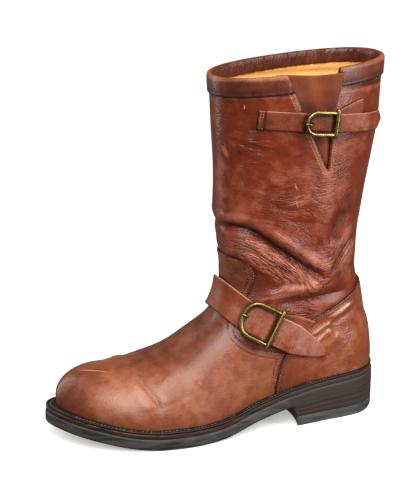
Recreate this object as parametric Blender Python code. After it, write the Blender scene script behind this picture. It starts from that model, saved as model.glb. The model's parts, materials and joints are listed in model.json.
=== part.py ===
"""Engineer boot for the left foot: a hollow leather upper on a stitched, heeled sole.

Sizes are in millimetres. X runs from heel to toe, Y to the wearer's outer side and Z up.
The origin lies on the floor under the middle of the heel.
"""
import bmesh
import bpy
import numpy as np

MM = 0.001

# Leather, rubber and metal thicknesses
WALL = 2.4
OVERLAY = 1.8
BAND = 1.4
STRAP = 2.4
CHAPE = 2.0
GUSSET = 1.6
INSOLE = 3.0
OUTSOLE = 10.0
MIDSOLE = 3.7
WELT = 1.9

# Gaps between pieces that touch
GAP = 0.3
SEAT_GAP = 0.5
STRAP_GAP = 1.0
INSOLE_CLEAR = 2.8

# Sole
TOE_CENTRE = 205.0
HEEL_CENTRE = -6.0
WELT_SHOWS = 8.0
WELT_SHOWS_AT_TOE = 13.0
WELT_WIDTH = 17.0
EDGE_ROUND = 1.5
HEEL_BREAST = 51.0
HEEL_BREAST_HOLLOW = 6.0
HEEL_TAPER = 0.6
HEEL_HEIGHT = 25.0
HEEL_RAKE = 2.5
HEEL_COLUMNS = (0, 0.25, 0.5, 0.75, 1)
HEEL_SPACING = 1.4
TOP_LIFT = 9.0
HEEL_WEAR = 2.5
HEEL_WEAR_START = -22.0
HEEL_WEAR_LENGTH = 18.0

# Upper
FOOT_BULGE = 2.5
FOOT_BULGE_RISE = 6.0
TOE_DROP = 0.6
BLEND_HEEL = 4.0
BLEND_INSTEP = 26.0
BLEND_START = 20.0
BLEND_LENGTH = 60.0
COLLAR_BAND_HEIGHT = 15.0
BAND_ROUND = 0.4
BAND_BACK = 0.1
GUSSET_OVERLAP = 8.0
GUSSET_FREE = 2.0
GUSSET_COLUMNS = 6
GUSSET_HEIGHTS = (225, 232, 240, 250, 262, 273, 284, 296, 308, 316.5)
SIDE = np.array([0.0, 1.0, 0.0])

# How finely the pieces are divided
SOLE_STATIONS = 28
INSOLE_STATIONS = 24
HEEL_STATIONS = 10
STRAP_ROWS = 5
CAST_REACH = 150.0
CAST_STEP = 2.0
CAST_HALVINGS = 24
NEAR_AXIS = 0.01
TINY = 1e-6

SOLE_OUTLINE = (
    (265, -11),
    (250, 21),
    (212, 46),
    (160, 57),
    (95, 47),
    (25, 38.5),
    (-22, 28.5),
    (-40, 0),
    (-22, -28.5),
    (25, -37),
    (95, -34),
    (180, -50),
    (243, -41),
)


class Table:
    """Rows of named columns, read smoothly along the first column."""

    def __init__(self, columns, rows):
        self.names = columns.split()
        self.rows = np.array(rows, dtype=float)

    def at(self, name, where):
        """Value of a column at places along the first column, held flat past both ends."""
        knots = self.rows[:, 0]
        values = self.rows[:, self.names.index(name)]
        slopes = np.gradient(values, knots)
        where = np.clip(np.asarray(where, dtype=float), knots[0], knots[-1])
        i = np.clip(np.searchsorted(knots, where, side="right") - 1, 0, len(knots) - 2)
        span = knots[i + 1] - knots[i]
        t = (where - knots[i]) / span
        bend = span * t * (1 - t) * (slopes[i] * (1 - t) - slopes[i + 1] * t)
        return values[i] + (values[i + 1] - values[i]) * t * t * (3 - 2 * t) + bend


# Top face of the outsole from heel to toe: heel seat, arch, tread and toe spring
SOLE_LINE = Table("x top", [
    (-40, 36), (0, 34), (45, 30), (85, 21.5), (120, 11.5),
    (140, 10), (180, 10), (205, 12.5), (230, 17.5), (266, 26),
])

# Foot sections along X: height and sideways place of the ridge, roundness of the section
FOOT = Table("x ridge_z ridge_y power", [
    (-6, 92, 0, 4.5),
    (40, 108, -1, 4.0),
    (65, 115, -2, 3.6),
    (90, 114.5, -4, 3.0),
    (110, 103, -6, 2.5),
    (130, 89.5, -8, 2.3),
    (150, 76, -9, 2.25),
    (175, 66.3, -9, 2.3),
    (205, 60, -8, 2.45),
])

# Leg sections along Z: back and front, half width and roundness
LEG = Table("z back_x front_x half_width power", [
    (30, -31, 60, 30, 2.6),
    (50, -34, 70, 31, 2.6),
    (66, -33, 80, 31.5, 2.5),
    (84, -29.5, 92, 32, 2.4),
    (98, -26.6, 98, 32.5, 2.4),
    (117, -23.6, 102.5, 33, 2.3),
    (132, -20, 103.5, 34, 2.3),
    (150, -20.2, 104, 35, 2.3),
    (170, -21.4, 108, 36, 2.3),
    (190, -24.7, 110.5, 37, 2.3),
    (210, -28, 111, 38, 2.3),
    (235, -33, 111.5, 39, 2.3),
    (270, -39, 113.5, 40.5, 2.3),
    (300, -40.8, 114.8, 41.4, 2.3),
    (330, -43, 116.5, 42.2, 2.3),
])

# Rings of the upper from the welt to the collar: height above the welt and share of the sole's curve,
# then place and tilt of the two ends of the ring's middle line
RINGS = Table("ring lift curve heel_x heel_z heel_tilt toe_x toe_z toe_tilt", [
    (0, 0, 1.0, -4, 41, 0, 205, 24, 0),
    (5, 16, 0.95, -4, 57, 0, 205, 36, 5),
    (8, 24, 0.35, -3, 65, 0, 203, 41, 45),
    (10, 30, 0.1, -2, 71, 0, 196, 44, 78),
    (13, 40, 0, 0, 79, 0, 165, 52, 76),
    (16, 40, 0, 3, 89, 0, 137, 64, 60),
    (19, 40, 0, 6, 101, 0, 110, 81, 50),
    (22, 40, 0, 10, 118, 0, 88, 105, 36),
    (25, 40, 0, 14, 142, 0, 76, 133, 20),
    (28, 40, 0, 15, 171, 0, 72, 166, 8),
    (31, 40, 0, 12, 205, 0, 70, 203, 0),
    (40, 40, 0, 0, 319.5, -3.5, 72, 315.1, -3.5),
])
OUTER_RINGS = (0, 1.4, 3, 4.6, 6, 7.2, 8.2, 9.2, 10.4, 12, 13.5, 15, 16.5, 18, 19.5, 21, 22.5,
               24, 25.5, 27, 29, 31, 33.5, 36, 38.6, 40)
INNER_RINGS = (0, 3, 6, 8.2, 10.4, 13.5, 15, 16.5, 18, 19.5, 21, 22.5, 24, 25.5, 27, 29, 31, 36, 40)
TOE_FAN = 10
SIDE_RAYS = 11
HEEL_FAN = 8
HEEL_PULL = 0.9
STEEP_TOE_PULL = 22.0
FOREFOOT_START = 60.0
FOREFOOT_LENGTH = 60.0

# Seams seen from the side, in X and Z: back edge of the vamp from the sole up over its tongue
VAMP_EDGE = ((69.5, 10), (69.5, 34), (68, 46), (64.5, 60), (60, 68), (75, 72), (88, 76), (98, 81.5),
             (104, 89), (103, 97), (97, 108), (91, 120), (86, 130), (84, 140), (88, 149), (96, 154),
             (105, 156.5), (130, 158))
COUNTER_EDGE = ((69, 10), (69, 34), (67.5, 46), (64, 60), (58, 69), (38, 90), (30, 96), (5, 106.5),
                (-9, 113), (-16, 119), (-24, 122), (-60, 124))

# Opening in the outer side of the shaft: front and back edge at each height
OPENING = Table("z front_x back_x", [
    (231, 22.5, 22.0),
    (262, 37.5, 19.5),
    (288, 49, 16.5),
    (325, 65.5, 8.5),
    (360, 81.0, 1.0),
])
OPENING_INSIDE = 15.0
CUTTER_REACH = 90.0
OPENING_CLOSED_BELOW = 262.0
OPENING_FLUSH_ABOVE = 284.0


def smoothstep(t):
    """Ease from 0 to 1."""
    t = np.clip(t, 0, 1)
    return t * t * (3 - 2 * t)


def closed_curve(points, steps=24):
    """Smooth closed curve through points, with even bends where their spacing changes."""
    here = np.asarray(points, dtype=float)
    before = np.roll(here, 1, axis=0)
    after = np.roll(here, -1, axis=0)
    beyond = np.roll(here, -2, axis=0)

    def root_chord(a, b):
        return np.sqrt(np.linalg.norm(b - a, axis=1))[:, None]

    d0 = root_chord(before, here)
    d1 = root_chord(here, after)
    d2 = root_chord(after, beyond)
    leave = d1 * ((here - before) / d0 - (after - before) / (d0 + d1) + (after - here) / d1)
    arrive = d1 * ((after - here) / d1 - (beyond - here) / (d1 + d2) + (beyond - after) / d2)
    t = np.linspace(0, 1, steps, endpoint=False)[:, None, None]
    bend = t * (1 - t) * (leave * (1 - t) - arrive * t)
    curve = here + (after - here) * t * t * (3 - 2 * t) + bend
    return curve.transpose(1, 0, 2).reshape(-1, 2)


def inset(loop, distance):
    """Loop moved inward by a distance, one value or one for each point."""
    along = np.roll(loop, -1, axis=0) - np.roll(loop, 1, axis=0)
    along /= np.linalg.norm(along, axis=1)[:, None]
    inward = np.column_stack([-along[:, 1], along[:, 0]])
    if np.sum((loop - loop.mean(axis=0)) * inward) > 0:
        inward = -inward
    return loop + inward * np.reshape(distance, (-1, 1))


class Plan:
    """A sole-shaped outline, read from its middle line and from a centre at each end."""

    def __init__(self, loop):
        loop = np.roll(loop, -int(np.argmax(loop[:, 0])), axis=0)
        heel = int(np.argmin(loop[:, 0]))
        halves = sorted((loop[:heel + 1], loop[heel:]), key=lambda half: half[:, 1].mean())
        self.inner, self.outer = (half[np.argsort(half[:, 0])] for half in halves)
        self.low, self.high = loop[:, 0].min(), loop[:, 0].max()
        self.fans = []
        for centre, way in ((TOE_CENTRE, 1), (HEEL_CENTRE, -1)):
            arm = loop - [centre, self.middle(centre)]
            angle = np.arctan2(arm[:, 1], arm[:, 0] * way)
            order = np.argsort(angle)
            self.fans.append((way, angle[order], np.linalg.norm(arm, axis=1)[order]))

    def sides(self, x):
        """Outer and inner edge at X."""
        return np.interp(x, *self.outer.T), np.interp(x, *self.inner.T)

    def middle(self, x):
        """Middle line at X."""
        return sum(self.sides(x)) / 2

    def reach(self, x, y):
        """Distance of a point from the middle line or end centre, and of the outline that way."""
        spine = np.clip(x, HEEL_CENTRE, TOE_CENTRE)
        dx = x - spine
        dy = y - self.middle(spine)
        outer, inner = self.sides(spine)
        radius = (outer - inner) / 2
        for way, angles, radii in self.fans:
            fan = np.interp(np.arctan2(dy, dx * way), angles, radii, period=2 * np.pi)
            radius = np.where(dx * way > 0, fan, radius)
        return np.hypot(dx, dy), radius


SOLE_LOOP = closed_curve(SOLE_OUTLINE)
TOE_SHARE = smoothstep((SOLE_LOOP[:, 0] - TOE_CENTRE + 10) / 65)
FEATHER_INSET = WELT_SHOWS + (WELT_SHOWS_AT_TOE - WELT_SHOWS) * TOE_SHARE
FEATHER = Plan(inset(SOLE_LOOP, FEATHER_INSET))


def sole_top(x):
    """Height of the outsole's top face, never thinner than the outsole over the floor."""
    return np.maximum(SOLE_LINE.at("top", x), OUTSOLE)


def sole_bottom(x):
    """Height of the outsole's underside."""
    return sole_top(x) - OUTSOLE


def feather_z(x):
    """Height of the line where the upper meets the welt."""
    return sole_top(x) + GAP + MIDSOLE + GAP + WELT + SEAT_GAP


def foot_field(x, y, z):
    """Distance outside the foot part of the last, negative inside."""
    spine = np.clip(x, HEEL_CENTRE, TOE_CENTRE)
    rise = np.maximum(z - feather_z(x), 0)
    spring = np.where(x > spine, feather_z(x) - feather_z(spine), 0)
    share = rise / (FOOT.at("ridge_z", spine) - feather_z(spine) - TOE_DROP * spring)
    lean = FOOT.at("ridge_y", spine) * np.minimum(share, 1.2)
    distance, radius = FEATHER.reach(x, y - lean)
    radius = radius + FOOT_BULGE * (1 - np.exp(-rise / FOOT_BULGE_RISE))
    power = FOOT.at("power", spine)
    size = ((distance / radius) ** power + share ** power) ** (1 / power)
    return np.maximum(np.hypot(distance, rise), NEAR_AXIS) * (1 - 1 / np.maximum(size, TINY))


def leg_field(x, y, z):
    """Distance outside the leg part of the last, negative inside."""
    back = LEG.at("back_x", z)
    front = LEG.at("front_x", z)
    dx = x - (front + back) / 2
    power = LEG.at("power", z)
    across = np.abs(y) / LEG.at("half_width", z)
    size = ((2 * np.abs(dx) / (front - back)) ** power + across ** power) ** (1 / power)
    return np.maximum(np.hypot(dx, y), NEAR_AXIS) * (1 - 1 / np.maximum(size, TINY))


def last_field(x, y, z):
    """Distance outside the whole last: foot and leg, blended softly at the instep."""
    foot = foot_field(x, y, z)
    leg = leg_field(x, y, z)
    blend = BLEND_HEEL + (BLEND_INSTEP - BLEND_HEEL) * smoothstep((x - BLEND_START) / BLEND_LENGTH)
    share = np.clip(0.5 + 0.5 * (leg - foot) / blend, 0, 1)
    return leg + (foot - leg) * share - blend * share * (1 - share)


def cast(start, way, offset=0.0, bend=None):
    """Points where rays from inside the last reach an offset of its surface."""
    start = np.asarray(start, dtype=float)
    way = np.asarray(way, dtype=float)

    def place(reach):
        point = start + way * reach[:, None]
        return point if bend is None else bend(point)

    def outside(reach):
        return last_field(*place(reach).T) - offset > 0

    steps = np.arange(0, CAST_REACH + CAST_STEP, CAST_STEP)
    crossed = np.stack([outside(np.full(len(start), step)) for step in steps])
    first = np.argmax(crossed, axis=0)
    low = steps[np.maximum(first - 1, 0)]
    high = steps[first]
    for _ in range(CAST_HALVINGS):
        middle = (low + high) / 2
        out = outside(middle)
        low = np.where(out, low, middle)
        high = np.where(out, middle, high)
    return place(low)


def tilted(degrees):
    """Unit direction toward the toe, tilted up by degrees."""
    angle = np.radians(degrees)
    return np.array([np.cos(angle), 0, np.sin(angle)])


def ring(number, offset=0.0):
    """One ring of the upper: toe fan, outer side, heel fan and inner side."""
    row = {name: float(RINGS.at(name, number)) for name in RINGS.names}
    heel = np.array([row["heel_x"], 0, row["heel_z"]])
    toe = np.array([row["toe_x"], 0, row["toe_z"]])
    heel_way = tilted(row["heel_tilt"])
    toe_way = tilted(row["toe_tilt"])
    span = np.linalg.norm(toe - heel)
    heel_pull = HEEL_PULL * span
    toe_pull = STEEP_TOE_PULL + (span - STEEP_TOE_PULL) * (1 - toe_way[2])
    w = np.linspace(0, 1, SIDE_RAYS + 2)[1:-1, None]
    bow = w * (1 - w) * (heel_way * heel_pull * (1 - w) - toe_way * toe_pull * w)
    spine = heel + (toe - heel) * w * w * (3 - 2 * w) + bow
    toe_angles = np.radians(np.linspace(-90, 90, TOE_FAN + 1))
    heel_angles = np.radians(np.linspace(90, 270, HEEL_FAN + 1))
    start = [toe] * (TOE_FAN + 1) + list(spine[::-1]) + [heel] * (HEEL_FAN + 1) + list(spine)
    way = [toe_way * np.cos(a) + SIDE * np.sin(a) for a in toe_angles]
    way += [SIDE] * SIDE_RAYS
    way += [heel_way * np.cos(a) + SIDE * np.sin(a) for a in heel_angles]
    way += [-SIDE] * SIDE_RAYS
    start = np.array(start)
    centred = np.maximum(row["curve"], smoothstep((start[:, 0] - FOREFOOT_START) / FOREFOOT_LENGTH))
    start[:, 1] = FEATHER.middle(start[:, 0]) * centred

    def follow_sole(point):
        sole = feather_z(point[:, 0]) + row["lift"]
        height = point[:, 2] * (1 - row["curve"]) + sole * row["curve"]
        return np.column_stack([point[:, :2], height])

    return cast(start, way, offset, follow_sole)


def grid_faces(rows, columns, closed, first=0):
    """Quads of a grid of points, wrapped round if closed."""
    last = columns if closed else columns - 1
    faces = []
    for r in range(rows - 1):
        for c in range(last):
            a = first + r * columns + c
            b = first + r * columns + (c + 1) % columns
            faces.append((a, b, b + columns, a + columns))
    return faces


def grid_normals(grid):
    """Outward unit normals of a closed grid of rings, level at the first ring."""
    around = np.roll(grid, -1, axis=1) - np.roll(grid, 1, axis=1)
    up = np.gradient(grid, axis=0)
    normal = np.cross(around, up)
    normal[0, :, 2] = 0
    return normal / np.linalg.norm(normal, axis=2)[:, :, None]


def make_object(name, points, faces, finish):
    """Closed solid from points in millimetres, with faces turned out and cut into triangles."""
    mesh = bpy.data.meshes.new(name)
    mesh.from_pydata((np.asarray(points) * MM).tolist(), [], faces)
    solid = bmesh.new()
    solid.from_mesh(mesh)
    bmesh.ops.remove_doubles(solid, verts=solid.verts, dist=1e-6)
    bmesh.ops.dissolve_degenerate(solid, dist=1e-6, edges=solid.edges)
    bmesh.ops.triangulate(solid, faces=solid.faces)
    bmesh.ops.recalc_face_normals(solid, faces=solid.faces)
    solid.to_mesh(mesh)
    solid.free()
    mesh.shade_smooth()
    mesh.set_sharp_from_angle(angle=np.radians(35))
    made = bpy.data.objects.new(name, mesh)
    bpy.context.scene.collection.objects.link(made)
    if finish is not None:
        mesh.materials.append(finish)
    return made


def wall_between(name, outer, inner, finish):
    """Solid between two closed grids of rings, with a rim at both ends."""
    columns = outer.shape[1]
    outer_count = outer.shape[0] * columns
    faces = grid_faces(outer.shape[0], columns, True)
    faces += [face[::-1] for face in grid_faces(inner.shape[0], columns, True, outer_count)]
    for outer_row, inner_row, turned in ((0, 0, True), (outer.shape[0] - 1, inner.shape[0] - 1, False)):
        for c in range(columns):
            d = (c + 1) % columns
            a = outer_row * columns
            b = outer_count + inner_row * columns
            face = (a + c, a + d, b + d, b + c)
            faces.append(face[::-1] if turned else face)
    points = np.concatenate([outer.reshape(-1, 3), inner.reshape(-1, 3)])
    return make_object(name, points, faces, finish)


def sheet_solid(name, front, back, finish):
    """Solid between two open grids of points that match."""
    rows, columns = front.shape[:2]
    count = rows * columns
    faces = grid_faces(rows, columns, False)
    faces += [face[::-1] for face in grid_faces(rows, columns, False, count)]
    edge = [c for c in range(columns)]
    edge += [r * columns + columns - 1 for r in range(1, rows)]
    edge += [(rows - 1) * columns + c for c in range(columns - 2, -1, -1)]
    edge += [r * columns for r in range(rows - 2, 0, -1)]
    for a, b in zip(edge, edge[1:] + edge[:1]):
        faces.append((b, a, a + count, b + count))
    points = np.concatenate([front.reshape(-1, 3), back.reshape(-1, 3)])
    return make_object(name, points, faces, finish)


def prism(name, corners, near, far):
    """Cutter with an outline in X and Z, from one Y to another."""
    count = len(corners)
    points = [(x, near, z) for x, z in corners] + [(x, far, z) for x, z in corners]
    faces = [tuple(range(count)), tuple(range(2 * count - 1, count - 1, -1))]
    for a in range(count):
        b = (a + 1) % count
        faces.append((b, a, a + count, b + count))
    cutter = make_object(name, points, faces, None)
    cutter.hide_render = True
    cutter.display_type = "WIRE"
    return cutter


def cut(target, cutter, operation):
    """Boolean of a solid with a cutter."""
    step = target.modifiers.new(cutter.name, "BOOLEAN")
    step.operation = operation
    step.object = cutter
    step.solver = "EXACT"


def finish_of(name, colour, roughness, metallic=0.0):
    """Principled material with one colour."""
    material = bpy.data.materials.new(name)
    material.use_nodes = True
    shader = material.node_tree.nodes["Principled BSDF"]
    shader.inputs["Base Color"].default_value = (*colour, 1.0)
    shader.inputs["Roughness"].default_value = roughness
    shader.inputs["Metallic"].default_value = metallic
    return material


# Sole pieces


def station_loop(plan, stations):
    """Outer edge from toe to heel and inner edge back, at matched X."""
    turn = np.linspace(0, np.pi, stations + 2)
    x = (plan.high + plan.low) / 2 + (plan.high - plan.low) / 2 * np.cos(turn)
    outer, inner = plan.sides(x)
    outer_half = np.column_stack([x, outer])
    inner_half = np.column_stack([x, inner])[1:-1][::-1]
    return np.concatenate([outer_half, inner_half])


def cap_faces(count, stations, first):
    """Ladder of faces between matched points of one station loop."""
    faces = []
    for s in range(stations + 1):
        a, b = s, s + 1
        c, d = (count - b) % count, (count - a) % count
        face = []
        for corner in (a, b, c, d):
            if corner not in face:
                face.append(corner)
        faces.append(tuple(first + corner for corner in face))
    return faces


def sole_slab(name, rows, stations, finish):
    """Solid of sole-shaped loops, each an inset and a height along X, from the bottom up."""
    points = []
    for distance, height in rows:
        loop = station_loop(Plan(inset(SOLE_LOOP, distance)), stations)
        points.append(np.column_stack([loop, height(loop[:, 0])]))
    count = len(points[0])
    faces = grid_faces(len(rows), count, True)
    faces += cap_faces(count, stations, 0)
    faces += cap_faces(count, stations, (len(rows) - 1) * count)
    return make_object(name, np.concatenate(points), faces, finish)


def make_outsole(finish):
    """Rubber outsole with rounded edges, arch and toe spring, flat under the tread."""
    rows = (
        (EDGE_ROUND, sole_bottom),
        (0, lambda x: sole_bottom(x) + EDGE_ROUND),
        (0, lambda x: sole_top(x) - EDGE_ROUND / 2),
        (EDGE_ROUND / 2, sole_top),
    )
    return sole_slab("outsole", rows, SOLE_STATIONS, finish)


def make_midsole(finish):
    """Leather midsole between outsole and welt."""
    rows = (
        (EDGE_ROUND / 2, lambda x: sole_top(x) + GAP),
        (EDGE_ROUND / 2, lambda x: sole_top(x) + GAP + MIDSOLE),
    )
    return sole_slab("midsole", rows, SOLE_STATIONS, finish)


def make_insole(finish):
    """Insole inside the foot of the upper, on the welt."""
    edge = FEATHER_INSET + WALL + INSOLE_CLEAR
    base = SEAT_GAP - GAP
    rows = (
        (edge, lambda x: feather_z(x) - base),
        (edge, lambda x: feather_z(x) - base + INSOLE),
    )
    return sole_slab("insole", rows, INSOLE_STATIONS, finish)


def make_welt(finish):
    """Welt strip round the foot, under the edge of the upper."""
    grids = []
    for distance in (EDGE_ROUND / 2, WELT_WIDTH):
        loop = station_loop(Plan(inset(SOLE_LOOP, distance)), SOLE_STATIONS)
        low = sole_top(loop[:, 0]) + GAP + MIDSOLE + GAP
        grids.append(np.stack([np.column_stack([loop, low]), np.column_stack([loop, low + WELT])]))
    outer, inner = grids
    return wall_between("welt", outer, inner, finish)


def heel_block(name, rows, finish):
    """Heel layer: loops from the breast round the back, each an inset, a breast and a height along X."""
    share = np.sin(np.linspace(0, np.pi / 2, HEEL_STATIONS + 1)) ** HEEL_SPACING
    points = []
    for distance, breast, height in rows:
        plan = Plan(inset(SOLE_LOOP, distance))
        for side in HEEL_COLUMNS:
            hollow = HEEL_BREAST_HOLLOW * (1 - (2 * side - 1) ** 2)
            x = breast - (breast - plan.low) * share - hollow * (1 - share)
            outer, inner = plan.sides(x)
            y = outer * (1 - side) + inner * side
            points.append(np.column_stack([x, y, height(x)]))
    line = HEEL_STATIONS + 1
    columns = len(HEEL_COLUMNS)
    layer = columns * line
    faces = []
    for base in (0, (len(rows) - 1) * layer):
        faces += grid_faces(columns, line, False, base)
    inner_edge = [(columns - 1) * line + s for s in range(HEEL_STATIONS, -1, -1)]
    breast_edge = [c * line for c in range(columns - 2, 0, -1)]
    edge = list(range(line)) + inner_edge + breast_edge
    for r in range(len(rows) - 1):
        for a, b in zip(edge, edge[1:] + edge[:1]):
            faces.append((r * layer + a, r * layer + b, (r + 1) * layer + b, (r + 1) * layer + a))
    return make_object(name, np.concatenate(points), faces, finish)


def lift_bottom(x):
    """Floor side of the top lift, worn up at the back."""
    return HEEL_WEAR * np.clip((HEEL_WEAR_START - x) / HEEL_WEAR_LENGTH, 0, 1) ** 2


def make_heel(stack_finish, lift_finish):
    """Stacked heel under the outsole, and the rubber lift that it stands on."""
    below = 1 - np.array([0, TOP_LIFT, HEEL_HEIGHT]) / HEEL_HEIGHT
    floor_edge, lift_edge, seat_edge = EDGE_ROUND / 2 + HEEL_TAPER * below
    floor_breast, lift_breast, seat_breast = HEEL_BREAST - HEEL_RAKE * below
    rows = (
        (floor_edge, floor_breast, lift_bottom),
        (lift_edge, lift_breast, lambda x: np.full_like(x, TOP_LIFT)),
    )
    heel_block("heel_top_lift", rows, lift_finish)
    rows = (
        (lift_edge, lift_breast, lambda x: np.full_like(x, TOP_LIFT + GAP)),
        (seat_edge, seat_breast, lambda x: sole_bottom(x) - GAP),
    )
    heel_block("heel_stack", rows, stack_finish)


# Upper and overlays


def opening_cutter(name, spread):
    """Wedge that cuts the opening in the outer side of the shaft, up past the collar."""
    heights = list(OPENING.rows[:, 0])
    front = [(OPENING.at("front_x", z) + spread, z) for z in heights]
    back = [(OPENING.at("back_x", z) - spread, z) for z in heights]
    return prism(name, back[::-1] + front, OPENING_INSIDE, CUTTER_REACH)


def make_upper(grid, finish):
    """Hollow upper, open at the collar and underneath, with the opening cut in its shaft."""
    inner = np.stack([ring(number, -WALL) for number in INNER_RINGS])
    upper = wall_between("upper", grid, inner, finish)
    cut(upper, opening_cutter("opening_cut", 0), "DIFFERENCE")


def make_panel(name, grid, normals, last_ring, corners, finish):
    """Overlay of the foot: a layer on the upper's own grid, cut to its outline from the side."""
    rows = OUTER_RINGS.index(last_ring) + 1
    inner = (grid + normals * GAP)[:rows]
    outer = (grid + normals * (GAP + OVERLAY))[:rows]
    panel = wall_between(name, outer, inner, finish)
    cut(panel, prism(name + "_cut", corners, -CUTTER_REACH, CUTTER_REACH), "INTERSECT")


def make_collar_band(grid, normals, finish):
    """Band round the top edge of the shaft, turned over its rim."""
    top = grid[-1]
    along = top - grid[-2]
    along /= np.linalg.norm(along, axis=1)[:, None]
    out = normals[-1]
    inner = [top + out * GAP - along * COLLAR_BAND_HEIGHT, top + out * GAP + along * GAP,
             top - out * WALL + along * GAP]
    outer = [top + out * (GAP + BAND) - along * COLLAR_BAND_HEIGHT,
             top + out * (GAP + BAND) + along * (GAP + BAND * BAND_ROUND),
             top + out * (GAP + BAND * BAND_ROUND) + along * (GAP + BAND),
             top - out * WALL + along * (GAP + BAND)]
    band = wall_between("collar_band", np.stack(outer), np.stack(inner), finish)
    cut(band, opening_cutter("band_cut", BAND_BACK), "DIFFERENCE")


def make_gusset(finish):
    """Soft panel in the opening: behind its front edge, flush at its back edge above the strap."""
    hidden = -(WALL + 2 * GAP)
    fronts, backs = [], []
    for z in GUSSET_HEIGHTS:
        edge = OPENING.at("front_x", z) - GUSSET_FREE
        front = OPENING.at("front_x", z) + GUSSET_OVERLAP
        back = OPENING.at("back_x", z) + 2 * GAP
        flush = smoothstep((z - OPENING_CLOSED_BELOW) / (OPENING_FLUSH_ABOVE - OPENING_CLOSED_BELOW))
        x = np.linspace(front, back, GUSSET_COLUMNS)
        past_edge = smoothstep((edge - x) / np.maximum(edge - back, 1))
        offset = hidden + (GAP - hidden) * past_edge * flush
        start = np.column_stack([x, np.zeros_like(x), np.full_like(x, z)])
        way = np.tile(SIDE, (len(x), 1))
        fronts.append(cast(start, way, offset))
        backs.append(cast(start, way, offset - GUSSET))
    sheet_solid("gusset", np.stack(fronts), np.stack(backs), finish)


# Straps and buckles


class StrapLine:
    """Line of a strap round the upper: a tilted plane, measured along and across from the side."""

    def __init__(self, tilt, height, spine_front, spine_back):
        self.along = tilted(tilt)
        self.across = tilted(tilt + 90)
        self.height = height
        self.spine_front = spine_front
        self.spine_back = spine_back

    def rays(self, station, drift):
        """Ray starts and ways for stations along the strap and drifts across it.

        A station runs along the outer side. Past the front end of the spine it counts degrees round
        the front, and past the back end it counts degrees round the back.
        """
        station = np.asarray(station, dtype=float)
        ahead = np.clip(station - self.spine_front, 0, 180)
        behind = np.clip(self.spine_back - station, 0, 90)
        inner = np.maximum(station - self.spine_front - 180, 0)
        on_spine = np.clip(station, self.spine_back, self.spine_front) - inner
        angle = np.radians(90 - ahead + behind)
        start = self.along * on_spine[:, None]
        start = start + self.across * (self.height + np.asarray(drift, dtype=float))[:, None]
        way = self.along * np.cos(angle)[:, None] + SIDE * np.sin(angle)[:, None]
        return start, way

    def point(self, station, drift, offset):
        """Points over the upper at stations, drifts and offsets."""
        station, drift, offset = np.broadcast_arrays(*np.atleast_1d(station, drift, offset))
        start, way = self.rays(station, drift)
        return cast(start, way, offset)

    def strip(self, name, stations, half_width, base, thickness, finish, skew=0.0):
        """Strap solid along stations, with a half width, a base offset and a sideways shift at each."""
        fronts, backs = [], []
        for share in np.linspace(-1, 1, STRAP_ROWS):
            drift = half_width * share + skew
            fronts.append(self.point(stations, drift, base + thickness))
            backs.append(self.point(stations, drift, base))
        return sheet_solid(name, np.stack(fronts), np.stack(backs), finish)


def tube(name, path, radius, up, sides, finish):
    """Round bar along a path."""
    tangent = np.gradient(path, axis=0)
    tangent /= np.linalg.norm(tangent, axis=1)[:, None]
    side = np.cross(tangent, up)
    side /= np.linalg.norm(side, axis=1)[:, None]
    rise = np.cross(side, tangent)
    turns = np.linspace(0, 2 * np.pi, sides, endpoint=False)
    points = np.stack([path + (side * np.cos(t) + rise * np.sin(t)) * radius for t in turns], axis=1)
    count = len(path)
    faces = grid_faces(count, sides, True)
    faces.append(tuple(range(sides)))
    faces.append(tuple((count - 1) * sides + s for s in range(sides)))
    return make_object(name, points.reshape(-1, 3), faces, finish)


def make_buckle(prefix, line, bar_station, length, half_height, raised, over, finish):
    """D-shaped buckle over a strap: bent frame, straight roller and the tip of its prong."""
    wire = BUCKLE_WIRE
    roller_radius = ROLLER_WIRE
    lift = over + GAP + wire
    centre = line.point(bar_station + length / 2, raised, lift)[0]
    above = line.point(bar_station + length / 2, raised, lift + wire)[0]
    up = (above - centre) / np.linalg.norm(above - centre)
    reach = half_height - wire
    straight = length - reach - wire
    turns = np.radians(np.linspace(-90, 90, BUCKLE_BEND_STEPS))
    arm = bar_station + roller_radius + GAP
    stations = [arm] + [bar_station + straight + reach * np.cos(t) for t in turns] + [arm]
    drifts = [-reach] + [reach * np.sin(t) for t in turns] + [reach]
    frame = line.point(stations, np.array(drifts) + raised, lift)
    tube(prefix + "_buckle_frame", frame, wire, up, 8, finish)
    half_roller = half_height + ROLLER_PAST_ARMS
    shares = np.linspace(-1, 1, 5)
    under = line.point(bar_station, raised + half_roller * shares, over + GAP + roller_radius)
    middle = (under[0] + under[-1]) / 2
    roller = middle + (under[-1] - middle) * shares[:, None]
    roller = roller + up * np.max((under - roller) @ up)
    tube(prefix + "_buckle_roller", roller[::2], roller_radius, up, 10, finish)
    low = over + GAP + PRONG_WIRE
    high = over + 3 * GAP + 2 * wire + PRONG_WIRE
    stations = bar_station + length + np.array(PRONG_STATIONS)
    prong = line.point(stations, raised, [low, (low + high) / 2, high, high])
    tube(prefix + "_buckle_prong", prong, PRONG_WIRE, up, 6, finish)


BUCKLE_WIRE = 1.9
ROLLER_WIRE = 2.1
ROLLER_PAST_ARMS = 0.6
PRONG_WIRE = 1.05
PRONG_STATIONS = (-10.3, -7.6, -5.1, 0.4)
BUCKLE_BEND_STEPS = 13

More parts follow.
